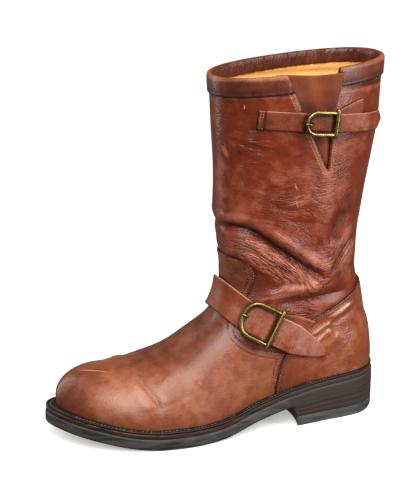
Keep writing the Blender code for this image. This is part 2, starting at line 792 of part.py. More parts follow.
# Instep fastening: a buckle has a length, half height and rise, a chape two ends, half width and skew
INSTEP_LINE = StrapLine(tilt=29.7, height=44.5, spine_front=134.0, spine_back=40.0)
INSTEP_HALF_WIDTH = 13.2
INSTEP_TIP = 48.0
INSTEP_TIP_LENGTH = 37.0
INSTEP_OUTER_STEPS = (0.3, 1.5, 4, 8, 13, 20, 28, 37, 46, 55, 64, 75, 86)
INSTEP_FRONT_STEPS = 12
INSTEP_INNER_RUN = 64.0
INSTEP_FRONT_RISE = 4.5
INSTEP_BRIDGE = 1.2
INSTEP_BAR = 109.0
INSTEP_BUCKLE = (34.5, 17.0, 0.5)
INSTEP_CHAPE = (74.0, 120.0, 14.0, 7.0)

# Top fastening
TOP_LINE = StrapLine(tilt=5.7, height=269.8, spine_front=118.0, spine_back=10.0)
TOP_HALF_WIDTH = 8.2
TOP_TIP = -37.0
TOP_TIP_STEPS = (0.5, 5, 11, 17)
TOP_SEWN_END = 114.0
TOP_BAR = 45.5
TOP_BUCKLE = (30.0, 11.5, 0.0)
TOP_CHAPE = (18.0, 54.0, 8.6, 12.0)
TOP_TAIL_DOWN = -8.0
CHAPE_SKEW_RUN = 40.0
CHAPE_STEPS = 7
STRAP_EASE = 20.0


def over_chape(stations, seat, passed, tail_end, bar):
    """Base height of a strap: on its seat, lifted where it passes over the chape."""
    tail = smoothstep((stations - tail_end) / STRAP_EASE)
    past_bar = smoothstep((stations - bar - STRAP_EASE) / STRAP_EASE)
    return seat + (passed - seat) * tail * (1 - past_bar)


def make_chape(name, line, start, end, half_width, skew, seat, finish):
    """Short strap under the main strap that holds the buckle, turned up at its sewn end."""
    stations = np.linspace(start, end, CHAPE_STEPS)
    even = np.ones(CHAPE_STEPS)
    shift = skew * smoothstep((end - stations) / CHAPE_SKEW_RUN)
    line.strip(name, stations, half_width * even, seat * even, CHAPE, finish, shift)


def make_instep_fastening(leather, brass):
    """Strap over the instep, its chape on the outer side and its buckle."""
    line = INSTEP_LINE
    seat = GAP + OVERLAY + STRAP_GAP
    passed = seat + CHAPE + GAP
    outer_side = INSTEP_TIP + np.array(INSTEP_OUTER_STEPS)
    front = line.spine_front + np.linspace(0, 180, INSTEP_FRONT_STEPS + 1)[1:]
    inner_side = front[-1] + np.linspace(0, INSTEP_INNER_RUN, 6)[1:]
    stations = np.concatenate([outer_side, front, inner_side])
    width = INSTEP_HALF_WIDTH * np.sqrt(np.clip((stations - INSTEP_TIP) / INSTEP_TIP_LENGTH, 0, 1))
    turned = np.sin(np.radians(np.clip(stations - line.spine_front, 0, 180)))
    base = over_chape(stations, seat, passed, INSTEP_TIP, INSTEP_BAR) + INSTEP_BRIDGE * turned
    line.strip("instep_strap", stations, width, base, STRAP, leather, INSTEP_FRONT_RISE * turned)
    make_chape("instep_chape", line, *INSTEP_CHAPE, seat, leather)
    over = passed + STRAP + INSTEP_BRIDGE / 2
    make_buckle("instep", line, INSTEP_BAR, *INSTEP_BUCKLE, over, brass)


def make_top_fastening(leather, brass):
    """Short strap across the opening near the collar, its chape and its buckle."""
    seat = SEAT_GAP + GAP
    passed = seat + CHAPE + GAP
    tip = TOP_TIP + np.array(TOP_TIP_STEPS)
    stations = np.concatenate([tip, np.linspace(tip[-1], TOP_SEWN_END, 15)[1:]])
    width = TOP_HALF_WIDTH * np.clip((stations - TOP_TIP) / TOP_TIP_STEPS[-1], 0, 1)
    base = over_chape(stations, seat, passed, TOP_TAIL_DOWN, TOP_BAR)
    TOP_LINE.strip("top_strap", stations, width, base, STRAP, leather)
    make_chape("top_chape", TOP_LINE, *TOP_CHAPE, seat, leather)
    make_buckle("top", TOP_LINE, TOP_BAR, *TOP_BUCKLE, passed + STRAP, brass)


def build():
    """Make every piece of the boot."""
    for thing in list(bpy.data.objects):
        bpy.data.objects.remove(thing, do_unlink=True)
    leather = finish_of("chestnut_leather", (0.25, 0.075, 0.033), 0.38)
    gusset_leather = finish_of("gusset_leather", (0.16, 0.055, 0.03), 0.6)
    welt_leather = finish_of("black_welt", (0.012, 0.011, 0.010), 0.6)
    midsole_leather = finish_of("midsole_leather", (0.09, 0.035, 0.018), 0.6)
    stacked_leather = finish_of("heel_leather", (0.03, 0.021, 0.018), 0.5)
    rubber = finish_of("sole_rubber", (0.03, 0.031, 0.033), 0.75)
    lift_rubber = finish_of("lift_rubber", (0.04, 0.042, 0.044), 0.8)
    insole_leather = finish_of("insole_leather", (0.6, 0.36, 0.14), 0.7)
    brass = finish_of("antique_brass", (0.27, 0.2, 0.065), 0.35, 1.0)
    make_outsole(rubber)
    make_midsole(midsole_leather)
    make_welt(welt_leather)
    make_heel(stacked_leather, lift_rubber)
    make_insole(insole_leather)
    grid = np.stack([ring(number) for number in OUTER_RINGS])
    normals = grid_normals(grid)
    make_upper(grid, leather)
    make_panel("vamp", grid, normals, 29, VAMP_EDGE + ((320, 158), (320, 10)), leather)
    make_panel("heel_counter", grid, normals, 25.5, COUNTER_EDGE + ((-60, 10),), leather)
    make_collar_band(grid, normals, leather)
    make_gusset(gusset_leather)
    make_instep_fastening(leather, brass)
    make_top_fastening(leather, brass)


build()
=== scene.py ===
"""Engineer boot for the left foot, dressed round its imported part.

Sizes are in millimetres, in the part's own frame: X from heel to toe, Y to the wearer's outer side and
Z up from the floor. Meshes are turned to metres where they are made.
"""
from __future__ import annotations

import json
import logging
import math
from dataclasses import dataclass, field
from enum import Enum
from typing import Callable, Sequence

import bmesh
import bpy
import numpy as np
from mathutils import Matrix

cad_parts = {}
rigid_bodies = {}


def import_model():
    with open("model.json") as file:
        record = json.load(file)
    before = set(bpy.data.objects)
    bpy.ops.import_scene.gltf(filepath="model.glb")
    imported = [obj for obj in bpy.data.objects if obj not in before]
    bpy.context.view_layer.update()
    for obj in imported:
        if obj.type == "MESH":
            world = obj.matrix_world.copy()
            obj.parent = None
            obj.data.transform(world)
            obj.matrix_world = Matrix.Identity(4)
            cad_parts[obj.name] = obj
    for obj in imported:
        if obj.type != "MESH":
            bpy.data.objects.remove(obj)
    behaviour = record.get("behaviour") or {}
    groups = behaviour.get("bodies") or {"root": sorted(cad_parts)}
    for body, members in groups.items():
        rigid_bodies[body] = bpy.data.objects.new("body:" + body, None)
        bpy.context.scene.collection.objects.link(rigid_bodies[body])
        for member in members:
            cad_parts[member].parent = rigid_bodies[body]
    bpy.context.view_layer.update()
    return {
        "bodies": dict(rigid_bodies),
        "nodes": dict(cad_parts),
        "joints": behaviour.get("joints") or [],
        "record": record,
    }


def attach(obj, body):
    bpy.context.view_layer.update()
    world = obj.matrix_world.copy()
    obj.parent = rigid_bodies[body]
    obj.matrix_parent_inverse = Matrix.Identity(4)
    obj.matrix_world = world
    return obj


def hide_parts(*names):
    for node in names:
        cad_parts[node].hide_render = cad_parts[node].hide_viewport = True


LOG = logging.getLogger("boot")
MM = 0.001
BODY = "root"
SIDE = np.array([0.0, 1.0, 0.0])
UP = np.array([0.0, 0.0, 1.0])
TINY = 1e-9
SMALL = 1e-6
FAR = 1e9
Points = np.ndarray
Face = tuple[int, ...]
Material = bpy.types.Material
Tree = bpy.types.NodeTree
Node = bpy.types.Node
Socket = bpy.types.NodeSocket


# Small mathematics


def smoothstep(t: Points) -> Points:
    """Ease from 0 to 1."""
    t = np.clip(t, 0, 1)
    return t * t * (3 - 2 * t)


def bell(t: Points) -> Points:
    """Soft bump, 1 at the middle and near 0 past 2."""
    return np.exp(-np.square(t))


def unit(vectors: Points) -> Points:
    """Vectors of length 1."""
    return vectors / np.maximum(np.linalg.norm(vectors, axis=-1, keepdims=True), TINY)


def tilted(degrees: float) -> Points:
    """Unit direction toward the toe, tilted up by degrees."""
    angle = math.radians(degrees)
    return np.array([math.cos(angle), 0, math.sin(angle)])


def spline(points: Sequence[Sequence[float]], steps: int, closed: bool) -> Points:
    """Smooth curve through points, with even bends where their spacing changes.

    Args:
        points: Places that the curve passes.
        steps: Parts between two places.
        closed: Whether the curve returns to its start.

    Returns:
        The curve's points.
    """
    given = np.asarray(points, dtype=float)
    if not closed:
        given = np.concatenate([[2 * given[0] - given[1]], given, [2 * given[-1] - given[-2]]])
    before, here, after, beyond = (np.roll(given, shift, axis=0) for shift in (1, 0, -1, -2))
    d0, d1, d2 = (
        np.sqrt(np.linalg.norm(b - a, axis=1))[:, None] for a, b in ((before, here), (here, after), (after, beyond))
    )
    leave = d1 * ((here - before) / d0 - (after - before) / (d0 + d1) + (after - here) / d1)
    arrive = d1 * ((after - here) / d1 - (beyond - here) / (d1 + d2) + (beyond - after) / d2)
    t = np.linspace(0, 1, steps, endpoint=False)[:, None, None]
    bend = t * (1 - t) * (leave * (1 - t) - arrive * t)
    curve = (here + (after - here) * t * t * (3 - 2 * t) + bend).transpose(1, 0, 2)
    if closed:
        return curve.reshape(-1, given.shape[1])
    return np.concatenate([curve[1:-2].reshape(-1, given.shape[1]), given[-2:-1]])


def inset(loop: Points, distance: float | Points) -> Points:
    """Closed plan loop moved inward.

    Args:
        loop: Points of the loop.
        distance: How far, one value or one for each point.

    Returns:
        The moved loop.
    """
    along = unit(np.roll(loop, -1, axis=0) - np.roll(loop, 1, axis=0))
    inward = np.column_stack([-along[:, 1], along[:, 0]])
    if np.sum((loop - loop.mean(axis=0)) * inward) > 0:
        inward = -inward
    return loop + inward * np.reshape(distance, (-1, 1))


def signed_distance(outline: Points, x: Points, z: Points) -> Points:
    """Distance from a closed outline in X and Z.

    Args:
        outline: Corners of the outline.
        x: X of each place.
        z: Z of each place.

    Returns:
        One distance for each place, negative inside.
    """
    shape = np.shape(x)
    place = np.column_stack([np.ravel(x), np.ravel(z)])
    nearest = np.full(len(place), FAR)
    inside = np.zeros(len(place), dtype=bool)
    for a, b in zip(outline, np.roll(outline, -1, axis=0)):
        edge = b - a
        arm = place - a
        share = np.clip(arm @ edge / max(edge @ edge, TINY), 0, 1)
        nearest = np.minimum(nearest, np.linalg.norm(arm - share[:, None] * edge, axis=1))
        if a[1] != b[1]:
            crosses = (a[1] > place[:, 1]) != (b[1] > place[:, 1])
            inside ^= crosses & (place[:, 0] < a[0] + edge[0] * (place[:, 1] - a[1]) / edge[1])
    return np.where(inside, -nearest, nearest).reshape(shape)


@dataclass(frozen=True)
class Table:
    """Rows of named columns, read smoothly along the first column."""

    columns: str
    rows: tuple[tuple[float, ...], ...]

    def at(self, name: str, where: Points | float) -> Points:
        """Value of a column, held flat past both ends of the table.

        Args:
            name: The column.
            where: Places along the first column.

        Returns:
            One value for each place.
        """
        rows = np.array(self.rows, dtype=float)
        knots = rows[:, 0]
        values = rows[:, self.columns.split().index(name)]
        slopes = np.gradient(values, knots)
        where = np.clip(np.asarray(where, dtype=float), knots[0], knots[-1])
        i = np.clip(np.searchsorted(knots, where, side="right") - 1, 0, len(knots) - 2)
        span = knots[i + 1] - knots[i]
        t = (where - knots[i]) / span
        bend = span * t * (1 - t) * (slopes[i] * (1 - t) - slopes[i + 1] * t)
        return values[i] + (values[i + 1] - values[i]) * t * t * (3 - 2 * t) + bend


# The shape that the pieces share


@dataclass(frozen=True)
class Gauge:
    """Thicknesses of the materials, and gaps between pieces that touch."""

    wall: float = 2.4
    overlay: float = 1.8
    band: float = 1.4
    strap: float = 2.4
    chape: float = 2.0
    gusset: float = 1.6
    outsole: float = 10.0
    midsole: float = 3.7
    welt: float = 1.9
    gap: float = 0.3
    seat_gap: float = 0.5
    strap_gap: float = 1.0


GAUGE = Gauge()


class Plan:
    """A sole-shaped outline, read from its middle line and from a centre at each end."""

    def __init__(self, loop: Points, heel_centre: float, toe_centre: float) -> None:
        """Sort the outline into its two sides and its two ends.

        Args:
            loop: Closed outline in X and Y.
            heel_centre: X that the round of the heel is read from.
            toe_centre: X that the round of the toe is read from.
        """
        loop = np.roll(loop, -int(np.argmax(loop[:, 0])), axis=0)
        heel = int(np.argmin(loop[:, 0]))
        halves = sorted((loop[: heel + 1], loop[heel:]), key=lambda half: half[:, 1].mean())
        self.inner, self.outer = (half[np.argsort(half[:, 0])] for half in halves)
        self.low, self.high = loop[:, 0].min(), loop[:, 0].max()
        self.ends = (heel_centre, toe_centre)
        self.fans = []
        for centre, way in ((toe_centre, 1), (heel_centre, -1)):
            arm = loop - [centre, self.middle(centre)]
            angle = np.arctan2(arm[:, 1], arm[:, 0] * way)
            order = np.argsort(angle)
            self.fans.append((way, angle[order], np.linalg.norm(arm, axis=1)[order]))

    def sides(self, x: Points) -> tuple[Points, Points]:
        """Outer and inner edge at X."""
        return np.interp(x, *self.outer.T), np.interp(x, *self.inner.T)

    def middle(self, x: Points | float) -> Points:
        """Middle line at X."""
        return sum(self.sides(x)) / 2

    def reach(self, x: Points, y: Points) -> tuple[Points, Points]:
        """How far points and the outline lie from the middle line or from an end's centre.

        Args:
            x: X of each point.
            y: Y of each point.

        Returns:
            The distance of each point, and of the outline in its direction.
        """
        spine = np.clip(x, *self.ends)
        dx = x - spine
        dy = y - self.middle(spine)
        outer, inner = self.sides(spine)
        radius = (outer - inner) / 2
        for way, angles, radii in self.fans:
            fan = np.interp(np.arctan2(dy, dx * way), angles, radii, period=2 * np.pi)
            radius = np.where(dx * way > 0, fan, radius)
        return np.hypot(dx, dy), radius

    def stations(self, count: int) -> Points:
        """Outer edge from toe to heel and inner edge back, at matched X.

        Args:
            count: Stations between the two ends.

        Returns:
            Points of the loop.
        """
        turn = np.linspace(0, np.pi, count + 2)
        x = (self.high + self.low) / 2 + (self.high - self.low) / 2 * np.cos(turn)
        outer, inner = self.sides(x)
        return np.concatenate([np.column_stack([x, outer]), np.column_stack([x, inner])[1:-1][::-1]])


@dataclass
class SoleShape:
    """Outline of the sole and its line from heel to toe."""

    toe_centre: float = 205.0
    heel_centre: float = -6.0
    welt_shows: float = 8.0
    welt_shows_at_toe: float = 13.0
    ledge_before_toe: float = 10.0
    ledge_length: float = 65.0
    steps: int = 24
    outline: tuple[tuple[float, float], ...] = (
        (265, -11), (250, 21), (212, 46), (160, 57), (95, 47), (25, 38.5), (-22, 28.5), (-40, 0),
        (-22, -28.5), (25, -37), (95, -34), (180, -50), (243, -41),
    )
    line: Table = Table("x top", (
        (-40, 36), (0, 34), (45, 30), (85, 21.5), (120, 11.5),
        (140, 10), (180, 10), (205, 12.5), (230, 17.5), (266, 26),
    ))
    loop: Points = field(init=False)
    feather: Plan = field(init=False)

    def __post_init__(self) -> None:
        """Draw the outline and the line where the upper meets the welt."""
        self.loop = spline(self.outline, self.steps, closed=True)
        share = smoothstep((self.loop[:, 0] - self.toe_centre + self.ledge_before_toe) / self.ledge_length)
        self.feather = self.plan(self.welt_shows + (self.welt_shows_at_toe - self.welt_shows) * share)

    def plan(self, distance: float | Points) -> Plan:
        """The outline, moved inward by a distance."""
        return Plan(inset(self.loop, distance), self.heel_centre, self.toe_centre)

    def top(self, x: Points) -> Points:
        """Height of the outsole's top face."""
        return np.maximum(self.line.at("top", x), GAUGE.outsole)

    def bottom(self, x: Points) -> Points:
        """Height of the outsole's underside."""
        return self.top(x) - GAUGE.outsole

    def midsole_bottom(self, x: Points) -> Points:
        """Height of the midsole's underside."""
        return self.top(x) + GAUGE.gap

    def welt_bottom(self, x: Points) -> Points:
        """Height of the welt's underside."""
        return self.midsole_bottom(x) + GAUGE.midsole + GAUGE.gap

    def feather_z(self, x: Points) -> Points:
        """Height of the line where the upper meets the welt."""
        return self.welt_bottom(x) + GAUGE.welt + GAUGE.seat_gap


@dataclass
class BootLast:
    """The form under the leather: a foot and a leg, blended softly at the instep."""

    sole: SoleShape
    bulge: float = 2.5
    bulge_rise: float = 6.0
    toe_drop: float = 0.6
    most_lean: float = 1.2
    blend_heel: float = 4.0
    blend_instep: float = 26.0
    blend_start: float = 20.0
    blend_length: float = 60.0
    near_axis: float = 0.01
    cast_reach: float = 150.0
    cast_step: float = 3.0
    cast_halvings: int = 18
    heel_pull: float = 0.9
    steep_toe_pull: float = 22.0
    forefoot_start: float = 60.0
    forefoot_length: float = 60.0
    foot: Table = Table("x ridge_z ridge_y power", (
        (-6, 92, 0, 4.5), (40, 108, -1, 4.0), (65, 115, -2, 3.6), (90, 114.5, -4, 3.0), (110, 103, -6, 2.5),
        (130, 89.5, -8, 2.3), (150, 76, -9, 2.25), (175, 66.3, -9, 2.3), (205, 60, -8, 2.45),
    ))
    leg: Table = Table("z back_x front_x half_width power", (
        (30, -31, 60, 30, 2.6), (50, -34, 70, 31, 2.6), (66, -33, 80, 31.5, 2.5), (84, -29.5, 92, 32, 2.4),
        (98, -26.6, 98, 32.5, 2.4), (117, -23.6, 102.5, 33, 2.3), (132, -20, 103.5, 34, 2.3),
        (150, -20.2, 104, 35, 2.3), (170, -21.4, 108, 36, 2.3), (190, -24.7, 110.5, 37, 2.3),
        (210, -28, 111, 38, 2.3), (235, -33, 111.5, 39, 2.3), (270, -39, 113.5, 40.5, 2.3),
        (300, -40.8, 114.8, 41.4, 2.3), (330, -43, 116.5, 42.2, 2.3),
    ))
    rings: Table = Table("ring lift curve heel_x heel_z heel_tilt toe_x toe_z toe_tilt", (
        (0, 0, 1.0, -4, 41, 0, 205, 24, 0), (5, 16, 0.95, -4, 57, 0, 205, 36, 5),
        (8, 24, 0.35, -3, 65, 0, 203, 41, 45), (10, 30, 0.1, -2, 71, 0, 196, 44, 78),
        (13, 40, 0, 0, 79, 0, 165, 52, 76), (16, 40, 0, 3, 89, 0, 137, 64, 60),
        (19, 40, 0, 6, 101, 0, 110, 81, 50), (22, 40, 0, 10, 118, 0, 88, 105, 36),
        (25, 40, 0, 14, 142, 0, 76, 133, 20), (28, 40, 0, 15, 171, 0, 72, 166, 8),
        (31, 40, 0, 12, 205, 0, 70, 203, 0), (40, 40, 0, 0, 319.5, -3.5, 72, 315.1, -3.5),
    ))

    def foot_field(self, x: Points, y: Points, z: Points) -> Points:
        """Distance outside the foot.

        Args:
            x: X of each place.
            y: Y of each place.
            z: Z of each place.

        Returns:
            One distance for each place, negative inside.
        """
        sole = self.sole
        spine = np.clip(x, sole.heel_centre, sole.toe_centre)
        rise = np.maximum(z - sole.feather_z(x), 0)
        spring = np.where(x > spine, sole.feather_z(x) - sole.feather_z(spine), 0)
        share = rise / (self.foot.at("ridge_z", spine) - sole.feather_z(spine) - self.toe_drop * spring)
        lean = self.foot.at("ridge_y", spine) * np.minimum(share, self.most_lean)
        distance, radius = sole.feather.reach(x, y - lean)
        radius = radius + self.bulge * (1 - np.exp(-rise / self.bulge_rise))
        power = self.foot.at("power", spine)
        size = ((distance / radius) ** power + share**power) ** (1 / power)
        return np.maximum(np.hypot(distance, rise), self.near_axis) * (1 - 1 / np.maximum(size, SMALL))

    def leg_field(self, x: Points, y: Points, z: Points) -> Points:
        """Distance outside the leg.

        Args:
            x: X of each place.
            y: Y of each place.
            z: Z of each place.

        Returns:
            One distance for each place, negative inside.
        """
        back = self.leg.at("back_x", z)
        front = self.leg.at("front_x", z)
        dx = x - (front + back) / 2
        power = self.leg.at("power", z)
        across = np.abs(y) / self.leg.at("half_width", z)
        size = ((2 * np.abs(dx) / (front - back)) ** power + across**power) ** (1 / power)
        return np.maximum(np.hypot(dx, y), self.near_axis) * (1 - 1 / np.maximum(size, SMALL))

    def field(self, x: Points, y: Points, z: Points) -> Points:
        """Distance outside the whole last.

        Args:
            x: X of each place.
            y: Y of each place.
            z: Z of each place.

        Returns:
            One distance for each place, negative inside.
        """
        foot = self.foot_field(x, y, z)
        leg = self.leg_field(x, y, z)
        forward = smoothstep((x - self.blend_start) / self.blend_length)
        blend = self.blend_heel + (self.blend_instep - self.blend_heel) * forward
        share = np.clip(0.5 + 0.5 * (leg - foot) / blend, 0, 1)
        return leg + (foot - leg) * share - blend * share * (1 - share)

    def cast(
        self, start: Points, way: Points, offset: Points | float, bend: Callable[[Points], Points] | None = None
    ) -> Points:
        """Points where rays from inside the last reach an offset of its surface.

        Args:
            start: Ray starts.
            way: Ray directions of length 1.
            offset: Distance outside the surface, one value or one for each ray.
            bend: Optional change to each tried point, such as following the sole's curve.

        Returns:
            One point for each ray.
        """

        def place(reach: Points) -> Points:
            """Point of each ray at a reach."""
            point = start + way * reach[:, None]
            return point if bend is None else bend(point)

        def outside(reach: Points) -> Points:
            """Whether each ray is past the offset surface at a reach."""
            return self.field(*place(reach).T) - offset > 0

        steps = np.arange(0, self.cast_reach + self.cast_step, self.cast_step)
        low = np.zeros(len(start))
        high = np.full(len(start), steps[-1])
        found = np.zeros(len(start), dtype=bool)
        for step in steps[1:]:
            crossed = outside(np.full(len(start), step)) & ~found
            high[crossed] = step
            low[crossed] = step - self.cast_step
            found |= crossed
            if found.all():
                break
        for _ in range(self.cast_halvings):
            middle = (low + high) / 2
            out = outside(middle)
            low = np.where(out, low, middle)
            high = np.where(out, middle, high)
        return place(low)

    def ring_rays(self, number: float, fans: tuple[int, int, int]) -> tuple[Points, Points, Points]:
        """Rays of one ring of the upper: toe fan, outer side, heel fan and inner side.

        Args:
            number: Ring number, 0 at the welt and 40 at the collar.
            fans: Steps in the toe fan, rays in each side and steps in the heel fan.

        Returns:
            Ray starts, ray directions, and the ring's lift and share of the sole's curve for each ray.
        """
        row = {name: float(self.rings.at(name, number)) for name in self.rings.columns.split()}
        toe_fan, side_rays, heel_fan = fans
        heel = np.array([row["heel_x"], 0, row["heel_z"]])
        toe = np.array([row["toe_x"], 0, row["toe_z"]])
        heel_way, toe_way = tilted(row["heel_tilt"]), tilted(row["toe_tilt"])
        span = np.linalg.norm(toe - heel)
        toe_pull = self.steep_toe_pull + (span - self.steep_toe_pull) * (1 - toe_way[2])
        w = np.linspace(0, 1, side_rays + 2)[1:-1, None]
        bow = w * (1 - w) * (heel_way * span * self.heel_pull * (1 - w) - toe_way * toe_pull * w)
        spine = heel + (toe - heel) * w * w * (3 - 2 * w) + bow
        toe_angles = np.radians(np.linspace(-90, 90, toe_fan + 1))[:, None]
        heel_angles = np.radians(np.linspace(90, 270, heel_fan + 1))[:, None]
        toes, heels = np.tile(toe, (toe_fan + 1, 1)), np.tile(heel, (heel_fan + 1, 1))
        start = np.concatenate([toes, spine[::-1], heels, spine])
        way = np.concatenate([
            toe_way * np.cos(toe_angles) + SIDE * np.sin(toe_angles), np.tile(SIDE, (side_rays, 1)),
            heel_way * np.cos(heel_angles) + SIDE * np.sin(heel_angles), np.tile(-SIDE, (side_rays, 1)),
        ])
        forward = smoothstep((start[:, 0] - self.forefoot_start) / self.forefoot_length)
        centred = np.maximum(row["curve"], forward)
        start[:, 1] = self.sole.feather.middle(start[:, 0]) * centred
        follow = np.tile([row["lift"], row["curve"]], (len(start), 1))
        return start, way, follow

    def skin(self, numbers: Points, fans: tuple[int, int, int]) -> Points:
        """Grid of points on the last, rings by columns.

        Args:
            numbers: Ring numbers from the welt up.
            fans: Steps in the toe fan, rays in each side and steps in the heel fan.

        Returns:
            Points, shaped rings by columns by 3.
        """
        rays = [self.ring_rays(number, fans) for number in numbers]
        start, way, follow = (np.concatenate(parts) for parts in zip(*rays))
        lift, curve = follow.T

        def follow_sole(point: Points) -> Points:
            """Points moved to their ring's share of the sole's curve."""
            height = point[:, 2] * (1 - curve) + (self.sole.feather_z(point[:, 0]) + lift) * curve
            return np.column_stack([point[:, :2], height])

        return self.cast(start, way, 0.0, follow_sole).reshape(len(numbers), -1, 3)


def grid_normals(grid: Points) -> Points:
    """Outward normals of a closed grid of rings, level at the first ring.

    Args:
        grid: Points, rings by columns by 3.

    Returns:
        Normals of length 1, shaped as the grid is.
    """
    around = np.roll(grid, -1, axis=1) - np.roll(grid, 1, axis=1)
    normal = np.cross(around, np.gradient(grid, axis=0))
    normal[0, :, 2] = 0
    return unit(normal)


# Creases and worn places


@dataclass(frozen=True)
class Crease:
    """Soft trough or ridge in the leather, along places on the outer side of the boot.

    A ridge has a rise above 0 and a trough below it. The lips are the rolls of leather above and below it.
    Its strength at the start is a share of its full one, and fade_in and fade_out are shares of its length.
    """

    path: tuple[tuple[float, float, float], ...]
    rise: float
    width: float
    upper_lip: float = 0.0
    lower_lip: float = 0.0
    lip_away: float = 2.0
    at_start: float = 0.1
    lip_width: float = 1.3
    fade_in: float = 0.25
    fade_out: float = 0.2
    at_end: float = 0.1
    blunt_end: float = 0.6
    felt_for: float = 3.0
    steps: int = 14

    def offset(self, points: Points, normals: Points) -> Points:
        """How far each point moves out along its normal.

        Args:
            points: Places on the skin.
            normals: Outward normals there.

        Returns:
            One distance for each point.
        """
        line = spline(self.path, self.steps, closed=False)
        reach = self.width * (self.lip_away + self.felt_for)
        near = np.all((points > line.min(axis=0) - reach) & (points < line.max(axis=0) + reach), axis=1)
        moved = np.zeros(len(points))
        if not near.any():
            return moved
        place = points[near]
        gaps = np.linalg.norm(place[:, None, :] - line[None, :, :], axis=2)
        nearest = np.argmin(gaps, axis=1)
        tangent = unit(np.gradient(line, axis=0))[nearest]
        above = unit(np.cross(normals[near], tangent))
        above *= np.where(above[:, 2:] < 0, -1, 1)
        arm = place - line[nearest]
        across = np.sum(arm * above, axis=1) / self.width
        along = np.sum(arm * tangent, axis=1) / self.width
        share = nearest / (len(line) - 1)
        start = self.at_start + (1 - self.at_start) * smoothstep(share / self.fade_in)
        fade = start * smoothstep((1 - share) / self.fade_out + self.at_end) * bell(along * self.blunt_end)
        upper = self.upper_lip * bell((across - self.lip_away) / self.lip_width)
        lower = self.lower_lip * bell((across + self.lip_away) / self.lip_width)
        moved[near] = (self.rise * bell(across) + upper + lower) * fade
        return moved


@dataclass(frozen=True)
class WornPlace:
    """Patch of the outer side with fine wrinkles, and lighter or darker leather."""

    centre: tuple[float, float, float]
    radius: float
    wrinkles: float = 0.0
    tone: float = 0.0


MAIN_FOLDS = (
    Crease(((111, 0, 182), (106, 17, 183), (91, 29, 180), (77, 33.5, 171), (65, 35, 162), (50, 36, 151),
            (33, 35.5, 139), (17, 33, 129)), -4.2, 3.4, 2.6, 1.0, 2.4, at_start=0.15),
    Crease(((112, 0, 200), (104, 20, 200), (88, 31, 196), (70, 36, 184), (52, 37, 170), (36, 36, 155)), 1.6, 11.0,
           at_start=0.2),
    Crease(((104, 0, 160), (98, 20, 160), (84, 31, 153), (66, 35, 141)), 1.4, 8.0, at_start=0.3),
    Crease(((82, 32, 119), (60, 35, 123), (39, 35, 124.5), (21, 34, 124)), 2.8, 4.4),
    Crease(((67, 35.5, 111.5), (44, 35, 113), (22, 33.5, 115), (-6, 27, 117)), -1.8, 4.0, 0.0, 0.8),
    Crease(((-13, 22, 168), (2, 30, 152), (14, 32.5, 133)), -1.9, 3.6, 0.8, 0.9),
    Crease(((4, 33.5, 194), (10, 34, 178), (15, 34.5, 160)), -1.6, 7.0, 0.6, 0.8),
    Crease(((194, 27, 62), (188, 35, 53), (183, 42, 43), (179, 48, 33)), -1.2, 2.6),
    Crease(((202, 26, 60), (197, 35, 51), (192, 43, 42), (188, 47, 34)), 1.2, 5.5),
    Crease(((178, 34, 58), (175, 41, 49), (171, 47, 38)), 0.9, 5.5),
    Crease(((160, 34, 62), (158, 42, 52), (154, 48, 40)), -0.7, 9.0),
)
SMALL_CREASES = tuple(Crease(*row) for row in (
    (((104, 20, 168), (91, 30, 163), (77, 34, 152), (62, 35.5, 143), (44, 35.5, 133)), -0.8, 2.0, 0.4, 0.4),
    (((97, 26, 174), (84, 32, 168), (70, 35, 158), (52, 36, 146)), 0.7, 2.4),
    (((92, 28, 158), (78, 33, 147), (64, 35, 138), (48, 35, 131)), -0.8, 2.4, 0.3, 0.4),
    (((84, 31, 142), (70, 34, 136), (54, 35, 131)), -0.6, 2.2, 0.3),
    (((70, 34, 131), (52, 35, 129), (34, 35, 127)), -0.6, 2.0, 0.3),
    (((146, 40.5, 56), (141, 44, 50), (137, 46.5, 45)), -0.5, 2.2),
    (((36, 36.5, 80), (26, 36, 85), (14, 34, 91)), 1.7, 2.6, -0.8, -0.9),
    (((30, 36.5, 73), (22, 35.5, 79), (15, 34, 84)), 1.5, 2.6, -0.6, -0.8),
    (((24, 36, 66), (15, 35, 73), (6, 33, 79)), 1.1, 4.0, -0.4, -0.3),
    (((19, 34, 93), (3, 31.5, 99), (-12, 27, 106)), 1.2, 2.6, -0.5, -0.6),
    (((110, 16, 264), (96, 29, 257), (84, 34, 254), (69, 38, 252)), -0.5, 1.9, 0.2, 0.2),
    (((99, 27, 259), (86, 33, 253), (74, 37, 249)), -0.45, 1.9, 0.2),
    (((70, 38, 248), (58, 39.5, 245), (46, 40.5, 244)), -0.4, 1.8, 0.2),
    (((82, 34, 222), (70, 37, 218), (58, 38.5, 216), (48, 39.5, 219)), -0.5, 2.0, 0.25),
    (((77, 35, 206), (66, 37, 200), (56, 38, 197), (38, 39, 199)), -0.6, 2.4, 0.3, 0.3),
    (((62, 37.5, 192), (46, 38, 186), (30, 37, 184)), -0.5, 2.2, 0.3),
    (((-6, 26, 160), (6, 31.5, 145), (15, 33, 131)), -0.5, 2.0, 0.3),
    (((110, 12, 206), (106, 18, 204), (97, 26, 204)), -0.4, 2.6, 0.2),
))
